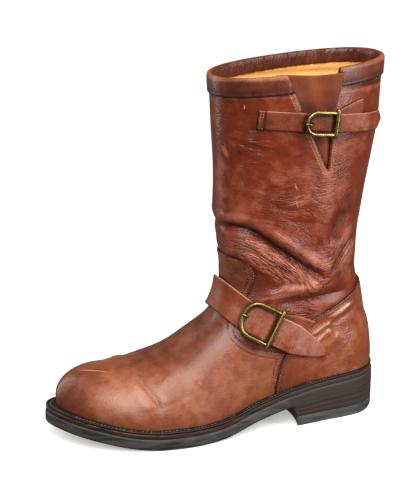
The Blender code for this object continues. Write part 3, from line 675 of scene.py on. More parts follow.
WORN_PLACES = tuple(WornPlace(*row) for row in (
    ((92, 29, 165), 15, 1.0, 0.2), ((76, 33, 155), 15, 1.15, 0.2), ((58, 35, 144), 16, 1.15, 0.18),
    ((36, 35, 132), 16, 1.15, 0.18), ((90, 31, 255), 20, 0.3, 0.0), ((60, 38, 206), 24, 0.4, 0.02),
    ((2, 30, 150), 20, 0.7, 0.05), ((40, 35, 106), 15, 0.6, 0.0), ((18, 35, 82), 15, 0.08, 0.15),
    ((24, 37, 212), 24, 0.3, 0.08), ((2, 33, 188), 18, 0.15, -0.14), ((72, 34, 192), 16, 0.2, -0.1),
    ((46, 36, 166), 16, 0.2, -0.1), ((112, 10, 285), 26, 0.15, -0.04), ((180, 44, 44), 34, 0.05, 0.1),
    ((215, 20, 58), 26, 0.0, 0.05), ((112, 40, 62), 30, 0.05, 0.1), ((6, 36, 52), 28, 0.12, 0.12),
    ((122, 8, 94), 22, 0.05, -0.16), ((150, 9, 76), 26, 0.05, -0.24), ((184, 8, 66), 24, 0.05, -0.18),
    ((252, 6, 36), 14, 0.0, -0.15), ((236, 30, 28), 14, 0.0, 0.06), ((206, 36, 44), 24, 0.0, 0.22),
    ((98, 24, 132), 24, 0.2, -0.26), ((232, -4, 52), 26, 0.05, -0.12),
))


@dataclass(frozen=True)
class Wear:
    """All creases and worn places of the upper, repeated on the inner side with a small shift."""

    folds: tuple[Crease, ...] = MAIN_FOLDS
    creases: tuple[Crease, ...] = SMALL_CREASES
    places: tuple[WornPlace, ...] = WORN_PLACES
    inner_shift: tuple[float, float] = (5.0, -4.0)
    crossing: float = 25.0
    wrinkle_squeeze: float = 0.26
    fold_low: float = 129.0
    fold_line: Table = Table("x z", (
        (-40, 196), (-12, 166), (2, 151), (14, 135), (24, 133), (50, 151), (77, 171), (92, 180), (106, 183), (125, 185),
    ))
    follows_from: tuple[float, float] = (112.0, 22.0)
    eases_from: tuple[float, float] = (190.0, 60.0)
    eases_by: float = 0.55
    fan_centre: tuple[float, float] = (50.0, 212.0)
    fan_reach: float = 18.0
    fan_height: float = 26.0
    # Painted shade in the creases' troughs and paler ridges, partly wax pulled up and partly painted light: tone per mm
    # of offset, and its limits
    tone_per_mm: float = 0.1
    darkest_fold: float = -0.5
    palest_fold: float = 0.18

    def mirrored(self, points: Points, normals: Points) -> tuple[Points, Points]:
        """Points and normals folded over to the outer side, where the creases are laid out.

        Args:
            points: Places on the skin.
            normals: Outward normals there.

        Returns:
            The folded points and normals.
        """
        share = smoothstep(-points[:, 1] / self.crossing)
        moved = points.copy()
        moved[:, 0] += self.inner_shift[0] * share
        moved[:, 1] = np.abs(points[:, 1])
        moved[:, 2] += self.inner_shift[1] * share
        facing = normals.copy()
        facing[:, 1] *= np.where(points[:, 1] < 0, -1.0, 1.0)
        return moved, facing

    def flow(self, place: Points) -> Points:
        """Texture places that run along the folds, squeezed so that wrinkles come out long.

        Args:
            place: Places on the outer side.

        Returns:
            Texture places in metres.
        """
        x, z = place[:, 0], place[:, 2]
        follows, eases = (smoothstep((z - low) / rise) for low, rise in (self.follows_from, self.eases_from))
        share = follows * (1 - self.eases_by * eases)
        aside = (x - self.fan_centre[0]) / self.fan_reach
        fan = self.fan_reach * np.tanh(aside) * bell((z - self.fan_centre[1]) / self.fan_height)
        across = z - share * (self.fold_line.at("z", x) - self.fold_low) + fan
        return np.column_stack([place[:, :2] * self.wrinkle_squeeze, across]) * MM

    def offsets(self, grid: Points, normals: Points) -> tuple[Points, Points]:
        """How far the skin moves out.

        Args:
            grid: Points of the skin, rings by columns by 3.
            normals: Outward normals there.

        Returns:
            The offset with every crease, and the offset of the main folds alone.
        """
        place, facing = self.mirrored(grid.reshape(-1, 3), normals.reshape(-1, 3))
        main = sum(crease.offset(place, facing) for crease in self.folds)
        small = sum(crease.offset(place, facing) for crease in self.creases)
        return (main + small).reshape(grid.shape[:2]), main.reshape(grid.shape[:2])

    def paint(self, grid: Points, normals: Points, offset: Points) -> dict[str, Points]:
        """Attributes for the leather: fine wrinkles and their flow, and lighter or darker tone, with painted shade in
        the creases' troughs.

        Args:
            grid: Points of the skin, rings by columns by 3.
            normals: Outward normals there.
            offset: How far the skin moves out there.

        Returns:
            Values of each attribute at each point.
        """
        place, _ = self.mirrored(grid.reshape(-1, 3), normals.reshape(-1, 3))
        fold = np.zeros(len(place))
        # Tone follows the creases: painted shade in the troughs, paler ridges that are partly pulled-up wax and partly
        # painted light
        tone = np.clip(offset.reshape(-1) * self.tone_per_mm, self.darkest_fold, self.palest_fold)
        for worn in self.places:
            near = bell(np.linalg.norm(place - worn.centre, axis=1) / worn.radius)
            fold = np.maximum(fold, worn.wrinkles * near)
            tone = tone + worn.tone * near
        return {"fold": fold[:, None], "tone": tone[:, None], "flow": self.flow(place)}


# Meshes

ROUND_END = (80, 50, 25, 0)
ROUND_END_REACH = 0.6
CUT_SHARES = (0.02, 0.98)
MERGE_M = 2e-6
SLIVER_M = 1e-6


@dataclass
class Clipped:
    """Part of a grid that an outline keeps, with new points where the outline cuts its edges."""

    faces: list[Face]
    first: Points
    second: Points
    share: Points

    def layer(self, grid: Points) -> Points:
        """Values of a grid at its own points and at the new ones."""
        flat, share = grid.reshape(-1, grid.shape[-1]), self.share[:, None]
        return np.concatenate([flat, flat[self.first] * (1 - share) + flat[self.second] * share])

    def painted(self, paint: dict[str, Points]) -> dict[str, Points]:
        """Attributes of a grid at its own points and at the new ones."""
        return {name: self.layer(values) for name, values in paint.items()}


def quads(rows: int, columns: int, closed: bool) -> Points:
    """Corner numbers of each quad of a grid.

    Args:
        rows: Rows of points.
        columns: Points in a row.
        closed: Whether the columns wrap round.

    Returns:
        Four numbers for each quad.
    """
    index = np.arange(rows * columns).reshape(rows, columns)
    ahead = np.roll(index, -1, axis=1)
    last = columns if closed else columns - 1
    corners = [index[:-1, :last], ahead[:-1, :last], ahead[1:, :last], index[1:, :last]]
    return np.stack([corner.reshape(-1) for corner in corners], axis=1)


def face_list(corners: Points) -> list[Face]:
    """Faces from an array of their corner numbers."""
    return [tuple(face) for face in corners.tolist()]


def clip(field_values: Points) -> Clipped:
    """Part of a grid of rings where a field is not above 0.

    Args:
        field_values: One value for each grid point, rings by columns.

    Returns:
        The kept faces and the new points on cut edges.
    """
    values = field_values.reshape(-1)
    corners = quads(*field_values.shape, True)
    kept = (values[corners] <= 0).sum(axis=1)
    faces = face_list(corners[kept == 4])
    cuts: dict[tuple[int, int], int] = {}
    for face in corners[(kept > 0) & (kept < 4)].tolist():
        polygon = []
        for a, b in zip(face, face[1:] + face[:1]):
            if values[a] <= 0:
                polygon.append(a)
            if (values[a] <= 0) != (values[b] <= 0):
                polygon.append(cuts.setdefault((min(a, b), max(a, b)), len(values) + len(cuts)))
        if len(polygon) > 2:
            faces.append(tuple(polygon))
    ends = np.array(list(cuts), dtype=int).reshape(-1, 2)
    share = values[ends[:, 0]] / (values[ends[:, 0]] - values[ends[:, 1]])
    return Clipped(faces, ends[:, 0], ends[:, 1], np.clip(share, *CUT_SHARES))


def level_lines(field_values: Points, level: float) -> list[tuple[Points, Points, Points]]:
    """Lines along which a field on a grid of rings has one value.

    Args:
        field_values: One value for each grid point, rings by columns.
        level: The value to follow.

    Returns:
        For each line, the two grid points of each crossed edge and the share between them, in order.
    """
    values = field_values.reshape(-1) - level
    corners = quads(*field_values.shape, True)
    above = (values[corners] > 0).sum(axis=1)
    links: dict[tuple[int, int], list[tuple[int, int]]] = {}
    for face in corners[(above > 0) & (above < 4)].tolist():
        crossed = [
            (min(a, b), max(a, b)) for a, b in zip(face, face[1:] + face[:1]) if (values[a] > 0) != (values[b] > 0)
        ]
        for a, b in zip(crossed[::2], crossed[1::2]):
            links.setdefault(a, []).append(b)
            links.setdefault(b, []).append(a)
    lines = []
    unused = dict.fromkeys(links)
    while unused:
        start = next((edge for edge in unused if len(links[edge]) == 1), next(iter(unused)))
        chain = [start]
        del unused[start]
        while True:
            ahead = next((edge for edge in links[chain[-1]] if edge in unused), None)
            if ahead is None:
                break
            chain.append(ahead)
            del unused[ahead]
        ends = np.array(chain)
        share = values[ends[:, 0]] / (values[ends[:, 0]] - values[ends[:, 1]])
        lines.append((ends[:, 0], ends[:, 1], share))
    return lines


def runs(keep: Points) -> list[Points]:
    """Index runs of consecutive points to keep."""
    kept = np.flatnonzero(keep)
    return np.split(kept, np.flatnonzero(np.diff(kept) > 1) + 1)


class Surface(Enum):
    """Which side of a thickened sheet a face is on."""

    OUTER = 0
    INNER = 1
    EDGE = 2


@dataclass
class Solid:
    """Points, faces and the side that each face is on."""

    points: Points
    faces: list[Face]
    sides: list[Surface]
    paint: dict[str, Points] = field(default_factory=dict)


def thicken(outer: Points, inner: Points, faces: list[Face], paint: dict[str, Points]) -> Solid:
    """Closed solid between two layers of points that share their faces.

    Args:
        outer: Points of the outer layer.
        inner: Matching points of the inner layer.
        faces: Faces of the outer layer.
        paint: Attribute values at the outer points, repeated on the inner ones.

    Returns:
        The solid, with a wall along every free edge.
    """
    count = len(outer)
    edges = {edge for face in faces for edge in zip(face, face[1:] + face[:1])}
    walls = [(b, a, a + count, b + count) for a, b in edges if (b, a) not in edges]
    under = [tuple(corner + count for corner in reversed(face)) for face in faces]
    sides = [Surface.OUTER] * len(faces) + [Surface.INNER] * len(under) + [Surface.EDGE] * len(walls)
    twice = {name: np.concatenate([values, values]) for name, values in paint.items()}
    return Solid(np.concatenate([outer, inner]), faces + under + walls, sides, twice)


def make_piece(
    name: str, solid: Solid, outer: Material, inner: Material | None = None, edge: Material | None = None,
    sharp: float = 40.0, fill: bool = False,
) -> bpy.types.Object:
    """Mesh object of a solid, in metres, that rides with the boot.

    Args:
        name: The piece's name.
        solid: Its points and faces in millimetres.
        outer: Finish of its outer side.
        inner: Finish of its inner side, where it isn't the outer one.
        edge: Finish of its edges, where it isn't the outer one.
        sharp: Angle in degrees past which an edge stays sharp.
        fill: Whether open holes are closed.

    Returns:
        The object.
    """
    used = np.unique(np.concatenate([np.asarray(face) for face in solid.faces]))
    renumber = np.full(len(solid.points), -1)
    renumber[used] = np.arange(len(used))
    faces = [tuple(renumber[list(face)].tolist()) for face in solid.faces]
    mesh = bpy.data.meshes.new(name)
    mesh.from_pydata((solid.points[used] * MM).tolist(), [], faces)
    finishes = {Surface.OUTER: outer, Surface.INNER: inner or outer, Surface.EDGE: edge or outer}
    slots = list(dict.fromkeys(finishes.values()))
    for material in slots:
        mesh.materials.append(material)
    numbers = [slots.index(finishes[side]) for side in solid.sides]
    mesh.polygons.foreach_set("material_index", numbers)
    for key, values in solid.paint.items():
        kind, label = ("FLOAT", "value") if values.shape[1] == 1 else ("FLOAT_VECTOR", "vector")
        painted = mesh.attributes.new(key, kind, "POINT")
        painted.data.foreach_set(label, values[used].astype(np.float32).ravel())
    shape = bmesh.new()
    shape.from_mesh(mesh)
    bmesh.ops.remove_doubles(shape, verts=shape.verts, dist=MERGE_M)
    bmesh.ops.dissolve_degenerate(shape, dist=SLIVER_M, edges=shape.edges)
    if fill:
        bmesh.ops.holes_fill(shape, edges=[edge for edge in shape.edges if edge.is_boundary], sides=0)
    bmesh.ops.recalc_face_normals(shape, faces=shape.faces)
    shape.to_mesh(mesh)
    shape.free()
    mesh.shade_smooth()
    mesh.set_sharp_from_angle(angle=math.radians(sharp))
    made = bpy.data.objects.new(name, mesh)
    bpy.context.scene.collection.objects.link(made)
    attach(made, BODY)
    LOG.info("%s: %d faces", name, len(mesh.polygons))
    return made


def stand_for(node: str) -> None:
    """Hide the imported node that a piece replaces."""
    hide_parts(node)


def loft(loops: Points, caps: bool = True) -> Solid:
    """Solid of closed loops of points.

    Args:
        loops: Points, loop by loop.
        caps: Whether its ends are closed by fans round their middles.

    Returns:
        The solid.
    """
    count, around = loops.shape[:2]
    faces = face_list(quads(count, around, True))
    points = [loops.reshape(-1, 3)]
    if caps:
        for end, base in ((0, 0), (-1, (count - 1) * around)):
            middle = count * around + len(points) - 1
            points.append(loops[end].mean(axis=0)[None])
            for a in range(around):
                faces.append((base + a, base + (a + 1) % around, middle))
    return Solid(np.concatenate(points), faces, [Surface.OUTER] * len(faces))


def tube(path: Points, radius: float, up: Points, sides: int) -> Solid:
    """Round bar along a path, with rounded ends.

    Args:
        path: Points along its middle.
        radius: Its radius.
        up: Direction of its top face, rubbed and painted lighter.
        sides: Faces round it.

    Returns:
        The bar's solid, painted by how far each face turns up: its top rubbed and painted light, its underside painted
        shade.
    """
    tangent = unit(np.gradient(path, axis=0))
    angles = np.radians(ROUND_END)
    past = radius * ROUND_END_REACH * np.sin(angles)[:, None]
    narrow = radius * np.cos(angles)
    centres = np.concatenate([path[:1] - tangent[:1] * past, path[1:-1], path[-1:] + tangent[-1:] * past[::-1]])
    radii = np.concatenate([narrow, np.full(len(path) - 2, radius), narrow[::-1]])
    nearest = np.clip(np.arange(len(centres)) - len(angles) + 1, 0, len(path) - 1)
    side = unit(np.cross(tangent, up))[nearest]
    rise = np.cross(side, tangent[nearest])
    turn = np.linspace(0, 2 * np.pi, sides, endpoint=False)[:, None]
    rings = side[:, None] * np.cos(turn) + rise[:, None] * np.sin(turn)
    solid = loft(centres[:, None] + radii[:, None, None] * rings)
    facing = np.tile(np.sin(turn[:, 0]), len(centres))
    solid.paint["rubbed"] = np.concatenate([facing, [0.0, 0.0]])[:, None]
    return solid


# Finishes

MATH = "ShaderNodeMath"
RANGE = "ShaderNodeMapRange"
CLOUDS = "ShaderNodeTexNoise"
ATTRIBUTE = "ShaderNodeAttribute"
PLACE = "ShaderNodeTexCoord"
MIX = "ShaderNodeMix"
RAMP = "ShaderNodeValToRGB"
BUMP = "ShaderNodeBump"
CLOUD_ROUGHNESS = 0.58
Inputs = dict[str | int, object] | tuple[object, ...]


def linear(hex_colour: str) -> tuple[float, float, float, float]:
    """Linear colour of an sRGB hex value."""
    parts = [int(hex_colour[i : i + 2], 16) / 255 for i in (1, 3, 5)]
    return (*(c / 12.92 if c <= 0.04045 else ((c + 0.055) / 1.055) ** 2.4 for c in parts), 1.0)


def per_mm(size: float) -> float:
    """Texture scale that gives a pattern a real size in millimetres."""
    return 1 / (size * MM)


def fill_inputs(tree: Tree, node: Node, inputs: Inputs) -> None:
    """Link a node's inputs to sockets, or set them to constants.

    Args:
        tree: Node tree of the node.
        node: Node to fill.
        inputs: Socket or constant for each input, by name or number, or in the node's own order.
    """
    for key, value in inputs.items() if isinstance(inputs, dict) else enumerate(inputs):
        if isinstance(value, Socket):
            tree.links.new(value, node.inputs[key])
        else:
            node.inputs[key].default_value = value


def add_node(
    tree: Tree, kind: str, inputs: Inputs = (), take: str | int | None = 0, **settings: object
) -> Socket | None:
    """Add a node with its settings and links.

    Args:
        tree: Node tree to add to.
        kind: Blender's name of the node type.
        inputs: Socket or constant for each input, by name or number, or in the node's own order.
        take: Output to hand back, by name or number, or None.
        settings: Properties of the node.

    Returns:
        The output.
    """
    node = tree.nodes.new(kind)
    for key, value in settings.items():
        setattr(node, key, value)
    fill_inputs(tree, node, inputs)
    return None if take is None else node.outputs[take]


def new_material(name: str) -> tuple[Material, Tree, Node]:
    """Start a material.

    Args:
        name: Its name.

    Returns:
        The material, its node tree and its shader.
    """
    material = bpy.data.materials.new(name)
    material.use_nodes = True
    tree = material.node_tree
    return material, tree, tree.nodes["Principled BSDF"]


def set_ramp(node: Node, stops: Sequence[tuple[float, str]]) -> None:
    """Fill a colour ramp.

    Args:
        node: The ramp.
        stops: Places and hex colours.
    """
    elements = node.color_ramp.elements
    while len(elements) < len(stops):
        elements.new(1.0)
    for element, (place, colour) in zip(elements, stops):
        element.position = place
        element.color = linear(colour)


@dataclass(frozen=True)
class Mark:
    """Mark on the leather between two places on its face: scuffs, scratches, painted highlights and painted shade."""

    start: tuple[float, float, float]
    end: tuple[float, float, float]
    facing: tuple[float, float, float]
    width: float
    colour: str
    strength: float
    depth: float = 7.0
    starts_at: float = 0.06
    full_at: float = 0.28

    def lay(self, tree: Tree, place: Socket, patch: Socket, colour: Socket) -> Socket:
        """Lay the mark over a colour, broken up by a cloudy pattern.

        Args:
            tree: Node tree of the leather.
            place: Object coordinates.
            patch: The cloudy pattern.
            colour: Colour under the mark.

        Returns:
            The colour with the mark.
        """
        first, last = np.array(self.start), np.array(self.end)
        along = unit(last - first)
        across = unit(np.cross(self.facing, along))
        turn = Matrix(np.column_stack([along, across, np.cross(along, across)]).tolist()).to_euler("XYZ")
        scale = (np.linalg.norm(last - first) / 2 + self.width, self.width, self.depth)
        inputs = (place, tuple((first + last) / 2 * MM), tuple(turn), tuple(size * MM for size in scale))
        moved = add_node(tree, "ShaderNodeMapping", inputs, vector_type="TEXTURE")
        oval = add_node(tree, "ShaderNodeTexGradient", (moved,), "Fac", gradient_type="SPHERICAL")
        broken = add_node(tree, MATH, (oval, patch), operation="MULTIPLY")
        amount = add_node(tree, RANGE, (broken, self.starts_at, self.full_at, 0.0, self.strength))
        return add_node(tree, MIX, {0: amount, 6: colour, 7: linear(self.colour)}, 2, data_type="RGBA")


@dataclass(frozen=True)
class Leather:
    """Waxed cowhide: mottled where the wax has moved, creased with sharp valleys, with a soft polish.

    Real grain is about 0.4 mm and wouldn't show, so it is drawn at 1.5 mm.
    """

    name: str
    dark: str
    base: str
    light: str
    roughness: float = 0.34
    specular: float = 0.5
    coat: float = 0.0
    coat_roughness: float = 0.25
    gloss_spread: float = 0.08
    cloud_mm: float = 44.0
    cloud_tone: float = 0.13
    patch_mm: float = 11.0
    patch_tone: float = 0.08
    grain_mm: float = 1.5
    grain_depth: float = 0.4
    grain: float = 0.3
    wrinkle_mm: float = 3.6
    wrinkle_depth: float = 0.8
    # How strongly wrinkles are painted: darker valleys as shade, paler hills as highlight
    wrinkle_tone: float = 0.36
    wrinkle_mean: float = 0.95
    fine_share: float = 0.45
    valley: float = 0.14
    mottle: float = 1.0
    speck_mm: float = 2.6
    specks: float = 0.12
    sheen: float = 0.0
    marks: tuple[Mark, ...] = ()
    seam_rows: tuple[float, float] | None = None

    def valleys(self, tree: Tree, rough: Socket) -> Socket:
        """Turn a cloudy pattern into round hills with sharp valleys between them.

        Args:
            tree: Node tree of the leather.
            rough: The cloudy pattern.

        Returns:
            Heights from 0 in a valley to 1.
        """
        level = add_node(tree, MATH, (rough, 0.5), operation="SUBTRACT")
        folded = add_node(tree, MATH, (level,), operation="ABSOLUTE")
        return add_node(tree, RANGE, (folded, 0.0, self.valley, 0.0, 1.0))

    def seams(self, tree: Tree) -> list[tuple[object, ...]]:
        """Darker tone along a panel's cut edge, and painted shade in the two grooves that its stitches lie in.

        Args:
            tree: Node tree of the leather.

        Returns:
            A pattern with its two ranges, for each of the two darkenings.
        """
        edge = add_node(tree, ATTRIBUTE, take="Fac", attribute_name="edge")
        near, far = self.seam_rows
        away = edge
        for shift in ((near + far) / 2, (far - near) / 2):
            past = add_node(tree, MATH, (away, shift), operation="SUBTRACT")
            away = add_node(tree, MATH, (past,), operation="ABSOLUTE")
        return [(away, 0.2, 0.9, -0.4, 0.0), (edge, 0.3, 1.2, -0.7, 0.0)]

    def material(self) -> Material:
        """Make the shader: cloudy colour, fine wrinkles with painted shade in their valleys and painted highlight on
        their hills, grain, and marks.

        Returns:
            The material.
        """
        material, tree, shader = new_material(self.name)
        place = add_node(tree, PLACE, take="Object")
        tone = add_node(tree, ATTRIBUTE, take="Fac", attribute_name="tone")
        fold = add_node(tree, ATTRIBUTE, take="Fac", attribute_name="fold")
        flow = add_node(tree, ATTRIBUTE, take="Vector", attribute_name="flow")
        patterns = []
        for coordinates, size, detail in (
            (place, self.cloud_mm, 3.0), (place, self.patch_mm, 5.0), (place, self.speck_mm, 2.0),
            (flow, self.wrinkle_mm, 1.5), (flow, self.wrinkle_mm * self.fine_share, 1.5),
        ):
            inputs = {"Vector": coordinates, "Scale": per_mm(size), "Detail": detail, "Roughness": CLOUD_ROUGHNESS}
            patterns.append(add_node(tree, CLOUDS, inputs))
        cloud, patch, dots, *rough = patterns
        wide, fine = (self.valleys(tree, pattern) for pattern in rough)
        both = add_node(tree, MATH, (fine, self.fine_share, wide), operation="MULTIPLY_ADD")
        wrinkles = add_node(tree, MATH, (both, fold), operation="MULTIPLY")
        raised = add_node(tree, MATH, (fold, -self.wrinkle_mean, wrinkles), operation="MULTIPLY_ADD")
        clouded, patched = self.cloud_tone * self.mottle, self.patch_tone * self.mottle
        layers = [
            (cloud, 0.3, 0.7, 0.5 - clouded, 0.5 + clouded), (patch, 0.3, 0.7, -patched, patched),
            (dots, 0.62, 0.7, 0.0, -self.specks), (dots, 0.36, 0.29, 0.0, self.specks / 2),
        ]
        if self.seam_rows:
            layers += self.seams(tree)
        for layer in layers:
            tone = add_node(tree, MATH, (tone, add_node(tree, RANGE, layer)), operation="ADD")
        # Wrinkle valleys are painted darker as shade and their hills paler as highlight
        lit = add_node(tree, MATH, (raised, self.wrinkle_tone, tone), operation="MULTIPLY_ADD")
        colour = add_node(tree, RAMP, (lit,))
        set_ramp(colour.node, ((0.08, self.dark), (0.5, self.base), (0.92, self.light)))
        for mark in self.marks:
            colour = mark.lay(tree, place, patch, colour)
        inputs = {"Vector": place, "Scale": per_mm(self.grain_mm)}
        grain = add_node(tree, "ShaderNodeTexVoronoi", inputs, feature="SMOOTH_F1")
        inputs = {"Height": grain, "Strength": self.grain, "Distance": self.grain_depth * MM}
        pebbled = add_node(tree, BUMP, inputs)
        inputs = {"Height": wrinkles, "Strength": 1.0, "Distance": self.wrinkle_depth * MM, "Normal": pebbled}
        creased = add_node(tree, BUMP, inputs)
        shiny, dull = self.roughness - self.gloss_spread, self.roughness + self.gloss_spread
        fill_inputs(tree, shader, {
            "Base Color": colour, "Roughness": add_node(tree, RANGE, (patch, 0.3, 0.7, shiny, dull)),
            "Normal": creased, "Specular IOR Level": self.specular, "Coat Weight": self.coat,
            "Coat Roughness": self.coat_roughness, "Sheen Weight": self.sheen,
        })
        return material


@dataclass(frozen=True)
class Stacked:
    """Sole edge of rubber or pressed leather: matt, scraped along its length, with a worn rim.

    Its scrapes and grit are drawn coarser than the real ones, so that they show.
    """

    name: str
    dark: str
    base: str
    worn: str
    roughness: float = 0.6
    rim: float = 0.5
    bump: float = 0.3
    scrapes: float = 1.0
    heel: str = "#352A28"
    stretch: tuple[float, float, float] = (0.12, 0.12, 1.0)
    scrape_mm: float = 2.2
    streak_mm: float = 5.0
    grit_mm: float = 1.5
    depth: float = 0.6
    gloss_spread: float = 0.1
    specular: float = 0.35

    def material(self) -> Material:
        """Make the shader: long scrapes, grit, the heel's stain and the worn colour along the rim.

        Returns:
            The material.
        """
        material, tree, shader = new_material(self.name)
        place = add_node(tree, PLACE, take="Object")
        rim = add_node(tree, ATTRIBUTE, take="Fac", attribute_name="rim")
        stain = add_node(tree, ATTRIBUTE, take="Fac", attribute_name="heel")
        long = add_node(tree, "ShaderNodeMapping", {"Vector": place, "Scale": self.stretch})
        patterns = []
        for coordinates, size, detail in (
            (long, self.scrape_mm, 4.0), (long, self.streak_mm, 4.0), (place, self.grit_mm, 3.0),
        ):
            inputs = {"Vector": coordinates, "Scale": per_mm(size), "Detail": detail, "Roughness": CLOUD_ROUGHNESS}
            patterns.append(add_node(tree, CLOUDS, inputs))
        scrape, streak, grit = patterns
        both = add_node(tree, MATH, (scrape, streak), operation="ADD")
        shade = add_node(tree, RANGE, (both, 0.8, 1.22, 0.5 - 0.5 * self.scrapes, 0.5 + 0.5 * self.scrapes))
        colour = add_node(tree, RAMP, (shade,))
        set_ramp(colour.node, ((0.0, self.dark), (1.0, self.base)))
        for pattern, by, low, high, most, over in (
            (stain, streak, 0.15, 0.36, 1.0, self.heel), (rim, both, 0.78, 1.12, self.rim, self.worn),
        ):
            broken = add_node(tree, MATH, (pattern, by), operation="MULTIPLY")
            amount = add_node(tree, RANGE, (broken, low, high, 0.0, most))
            colour = add_node(tree, MIX, {0: amount, 6: colour, 7: linear(over)}, 2, data_type="RGBA")
        height = add_node(tree, MATH, (scrape, grit), operation="ADD")
        scraped = add_node(tree, BUMP, {"Height": height, "Strength": self.bump, "Distance": self.depth * MM})
        shiny, dull = self.roughness - self.gloss_spread, self.roughness + self.gloss_spread
        fill_inputs(tree, shader, {
            "Base Color": colour, "Roughness": add_node(tree, RANGE, (streak, 0.3, 0.7, shiny, dull)),
            "Normal": scraped, "Specular IOR Level": self.specular,
        })
        return material


@dataclass(frozen=True)
class Brass:
    """Cast brass gone dull with age: satin yellow-green, rubbed and painted light on top of each bar, painted shade
    beneath.

    Real pits are about 0.2 mm and wouldn't show, so they are drawn at 0.9 mm.
    """

    name: str = "aged_brass"
    tarnish: str = "#2A2010"
    base: str = "#62542B"
    bright: str = "#A0905A"
    roughness: float = 0.36
    cloud_mm: float = 6.0
    pit_mm: float = 0.9
    pit_depth: float = 0.3
    pits: float = 0.15
    # How much the top of a bar is painted lighter and its underside darker
    rub: float = 0.3
    duller: float = 0.14
    shinier: float = 0.06

    def material(self) -> Material:
        """Make the metal shader: cloudy tarnish and fine pits.

        Returns:
            The material.
        """
        material, tree, shader = new_material(self.name)
        place = add_node(tree, PLACE, take="Object")
        rubbed = add_node(tree, ATTRIBUTE, take="Fac", attribute_name="rubbed")
        patterns = []
        for size, detail in ((self.cloud_mm, 4.0), (self.pit_mm, 2.0)):
            inputs = {"Vector": place, "Scale": per_mm(size), "Detail": detail, "Roughness": CLOUD_ROUGHNESS}
            patterns.append(add_node(tree, CLOUDS, inputs))
        cloud, pit = patterns
        # Painted light on top of each bar and painted shade underneath, with rubbed metal on top and cloudy tarnish
        worn = add_node(tree, MATH, (rubbed, self.rub, cloud), operation="MULTIPLY_ADD")
        colour = add_node(tree, RAMP, (worn,))
        set_ramp(colour.node, ((0.3, self.tarnish), (0.55, self.base), (0.85, self.bright)))
        pitted = add_node(tree, BUMP, {"Height": pit, "Strength": self.pits, "Distance": self.pit_depth * MM})
        dull, shiny = self.roughness + self.duller, self.roughness - self.shinier
        gloss = add_node(tree, RANGE, (worn, 0.3, 0.8, dull, shiny))
        inputs = {"Base Color": colour, "Roughness": gloss, "Normal": pitted, "Metallic": 1.0}
        fill_inputs(tree, shader, inputs)
        return material


@dataclass(frozen=True)
class Thread:
    """Waxed sewing thread: matt, twisted, a little soiled.

    A real twist is about 0.6 mm long and wouldn't show, so it is drawn at 3 mm.
    """

    name: str
    base: str
    soiled: str
    soil_mm: float = 7.0
    twist_mm: float = 3.0
    twist_depth: float = 0.2
    roughness: float = 0.8

    def material(self) -> Material:
        """Make the shader: twisted, with soiled patches along the seam.

        Returns:
            The material.
        """
        material, tree, shader = new_material(self.name)
        place = add_node(tree, PLACE, take="Object")
        inputs = {"Vector": place, "Scale": per_mm(self.soil_mm), "Detail": 3.0, "Roughness": CLOUD_ROUGHNESS}
        colour = add_node(tree, RAMP, (add_node(tree, CLOUDS, inputs),))
        set_ramp(colour.node, ((0.38, self.soiled), (0.6, self.base)))
        inputs = {"Vector": place, "Scale": per_mm(self.twist_mm), "Distortion": 1.0}
        twist = add_node(tree, "ShaderNodeTexWave", inputs, "Fac")
        twisted = add_node(tree, BUMP, {"Height": twist, "Strength": 0.3, "Distance": self.twist_depth * MM})
        fill_inputs(tree, shader, {"Base Color": colour, "Normal": twisted, "Roughness": self.roughness})
        return material


VAMP_ROWS = (1.7, 5.2)
COUNTER_ROWS = (1.7, 4.4)
COUNTER_MARKS = (
    # The three pale marks are painted highlights on the counter's folds, where the leather is also polished
    Mark((37, 36.5, 80.5), (14, 34, 92), (0, 1, 0.2), 1.4, "#C8917A", 0.5),
    Mark((31, 36.5, 73.5), (15, 34, 85), (0, 1, 0.2), 1.2, "#C8917A", 0.45),
    Mark((20, 34, 94), (-12, 27, 107), (0, 1, 0.2), 1.3, "#C58E76", 0.5),
    Mark((12, 36, 66), (4, 34.5, 72), (0, 1, 0.2), 1.2, "#5E2A18", 0.6),
    Mark((-6, 34, 60), (-12, 32, 66), (0, 1, 0.2), 1.0, "#5E2A18", 0.6),
    Mark((40, 40, 46), (33, 39.5, 50), (0, 1, 0.2), 1.0, "#5E2A18", 0.5),
)
SHAFT_MARKS = (
    # The first two marks are painted highlights: on the ridge under the main fold and on the bulge below its front
    Mark((88, 30, 117.5), (42, 35, 121.5), (0, 1, 0.3), 2.6, "#B67C68", 0.5),
    Mark((100, 24, 171), (88, 30, 168), (0.4, 0.9, 0.2), 3.0, "#B67C68", 0.5),
    Mark((111, 14, 253), (108, 18, 246), (0.8, 0.6, 0), 3.4, "#A9683C", 0.8),
    Mark((110, 16, 258), (109, 17, 250), (0.8, 0.6, 0), 1.6, "#A9683C", 0.5),
    Mark((97, 30.5, 292), (97, 30.5, 288), (0.4, 0.9, 0), 0.9, "#C9926A", 0.9),
    Mark((65, 41.5, 302), (62, 41.8, 301), (0, 1, 0), 1.3, "#C58A5C", 0.9),
    Mark((53.5, 39.4, 222), (50, 39.4, 215), (0, 1, 0), 0.9, "#C48C6A", 0.8),
    Mark((51.5, 39.4, 206), (49, 39.3, 199), (0, 1, 0), 0.8, "#BE866A", 0.7),
    Mark((99, 27, 226), (97, 28, 219), (0.5, 0.8, 0), 0.9, "#9A5636", 0.6),
)
VAMP_MARKS = (
    # The first mark is painted shade along a small crease
    Mark((146, 41, 57), (138, 46, 45), (0, 0.85, 0.5), 0.8, "#5A2E1A", 0.4),
    Mark((240, -12, 61), (208, 12, 63), (0.4, 0.3, 0.85), 0.8, "#D0946A", 0.9),
    Mark((231, 10, 60), (222, 17, 59), (0.4, 0.3, 0.85), 0.7, "#C48458", 0.6),
    Mark((200, 10, 67), (188, 16, 67), (0, 0.3, 0.9), 1.0, "#B8784F", 0.5),
    Mark((205, 36, 27), (196, 40, 24), (0.2, 0.95, 0.2), 1.6, "#7A3E26", 0.5),
)


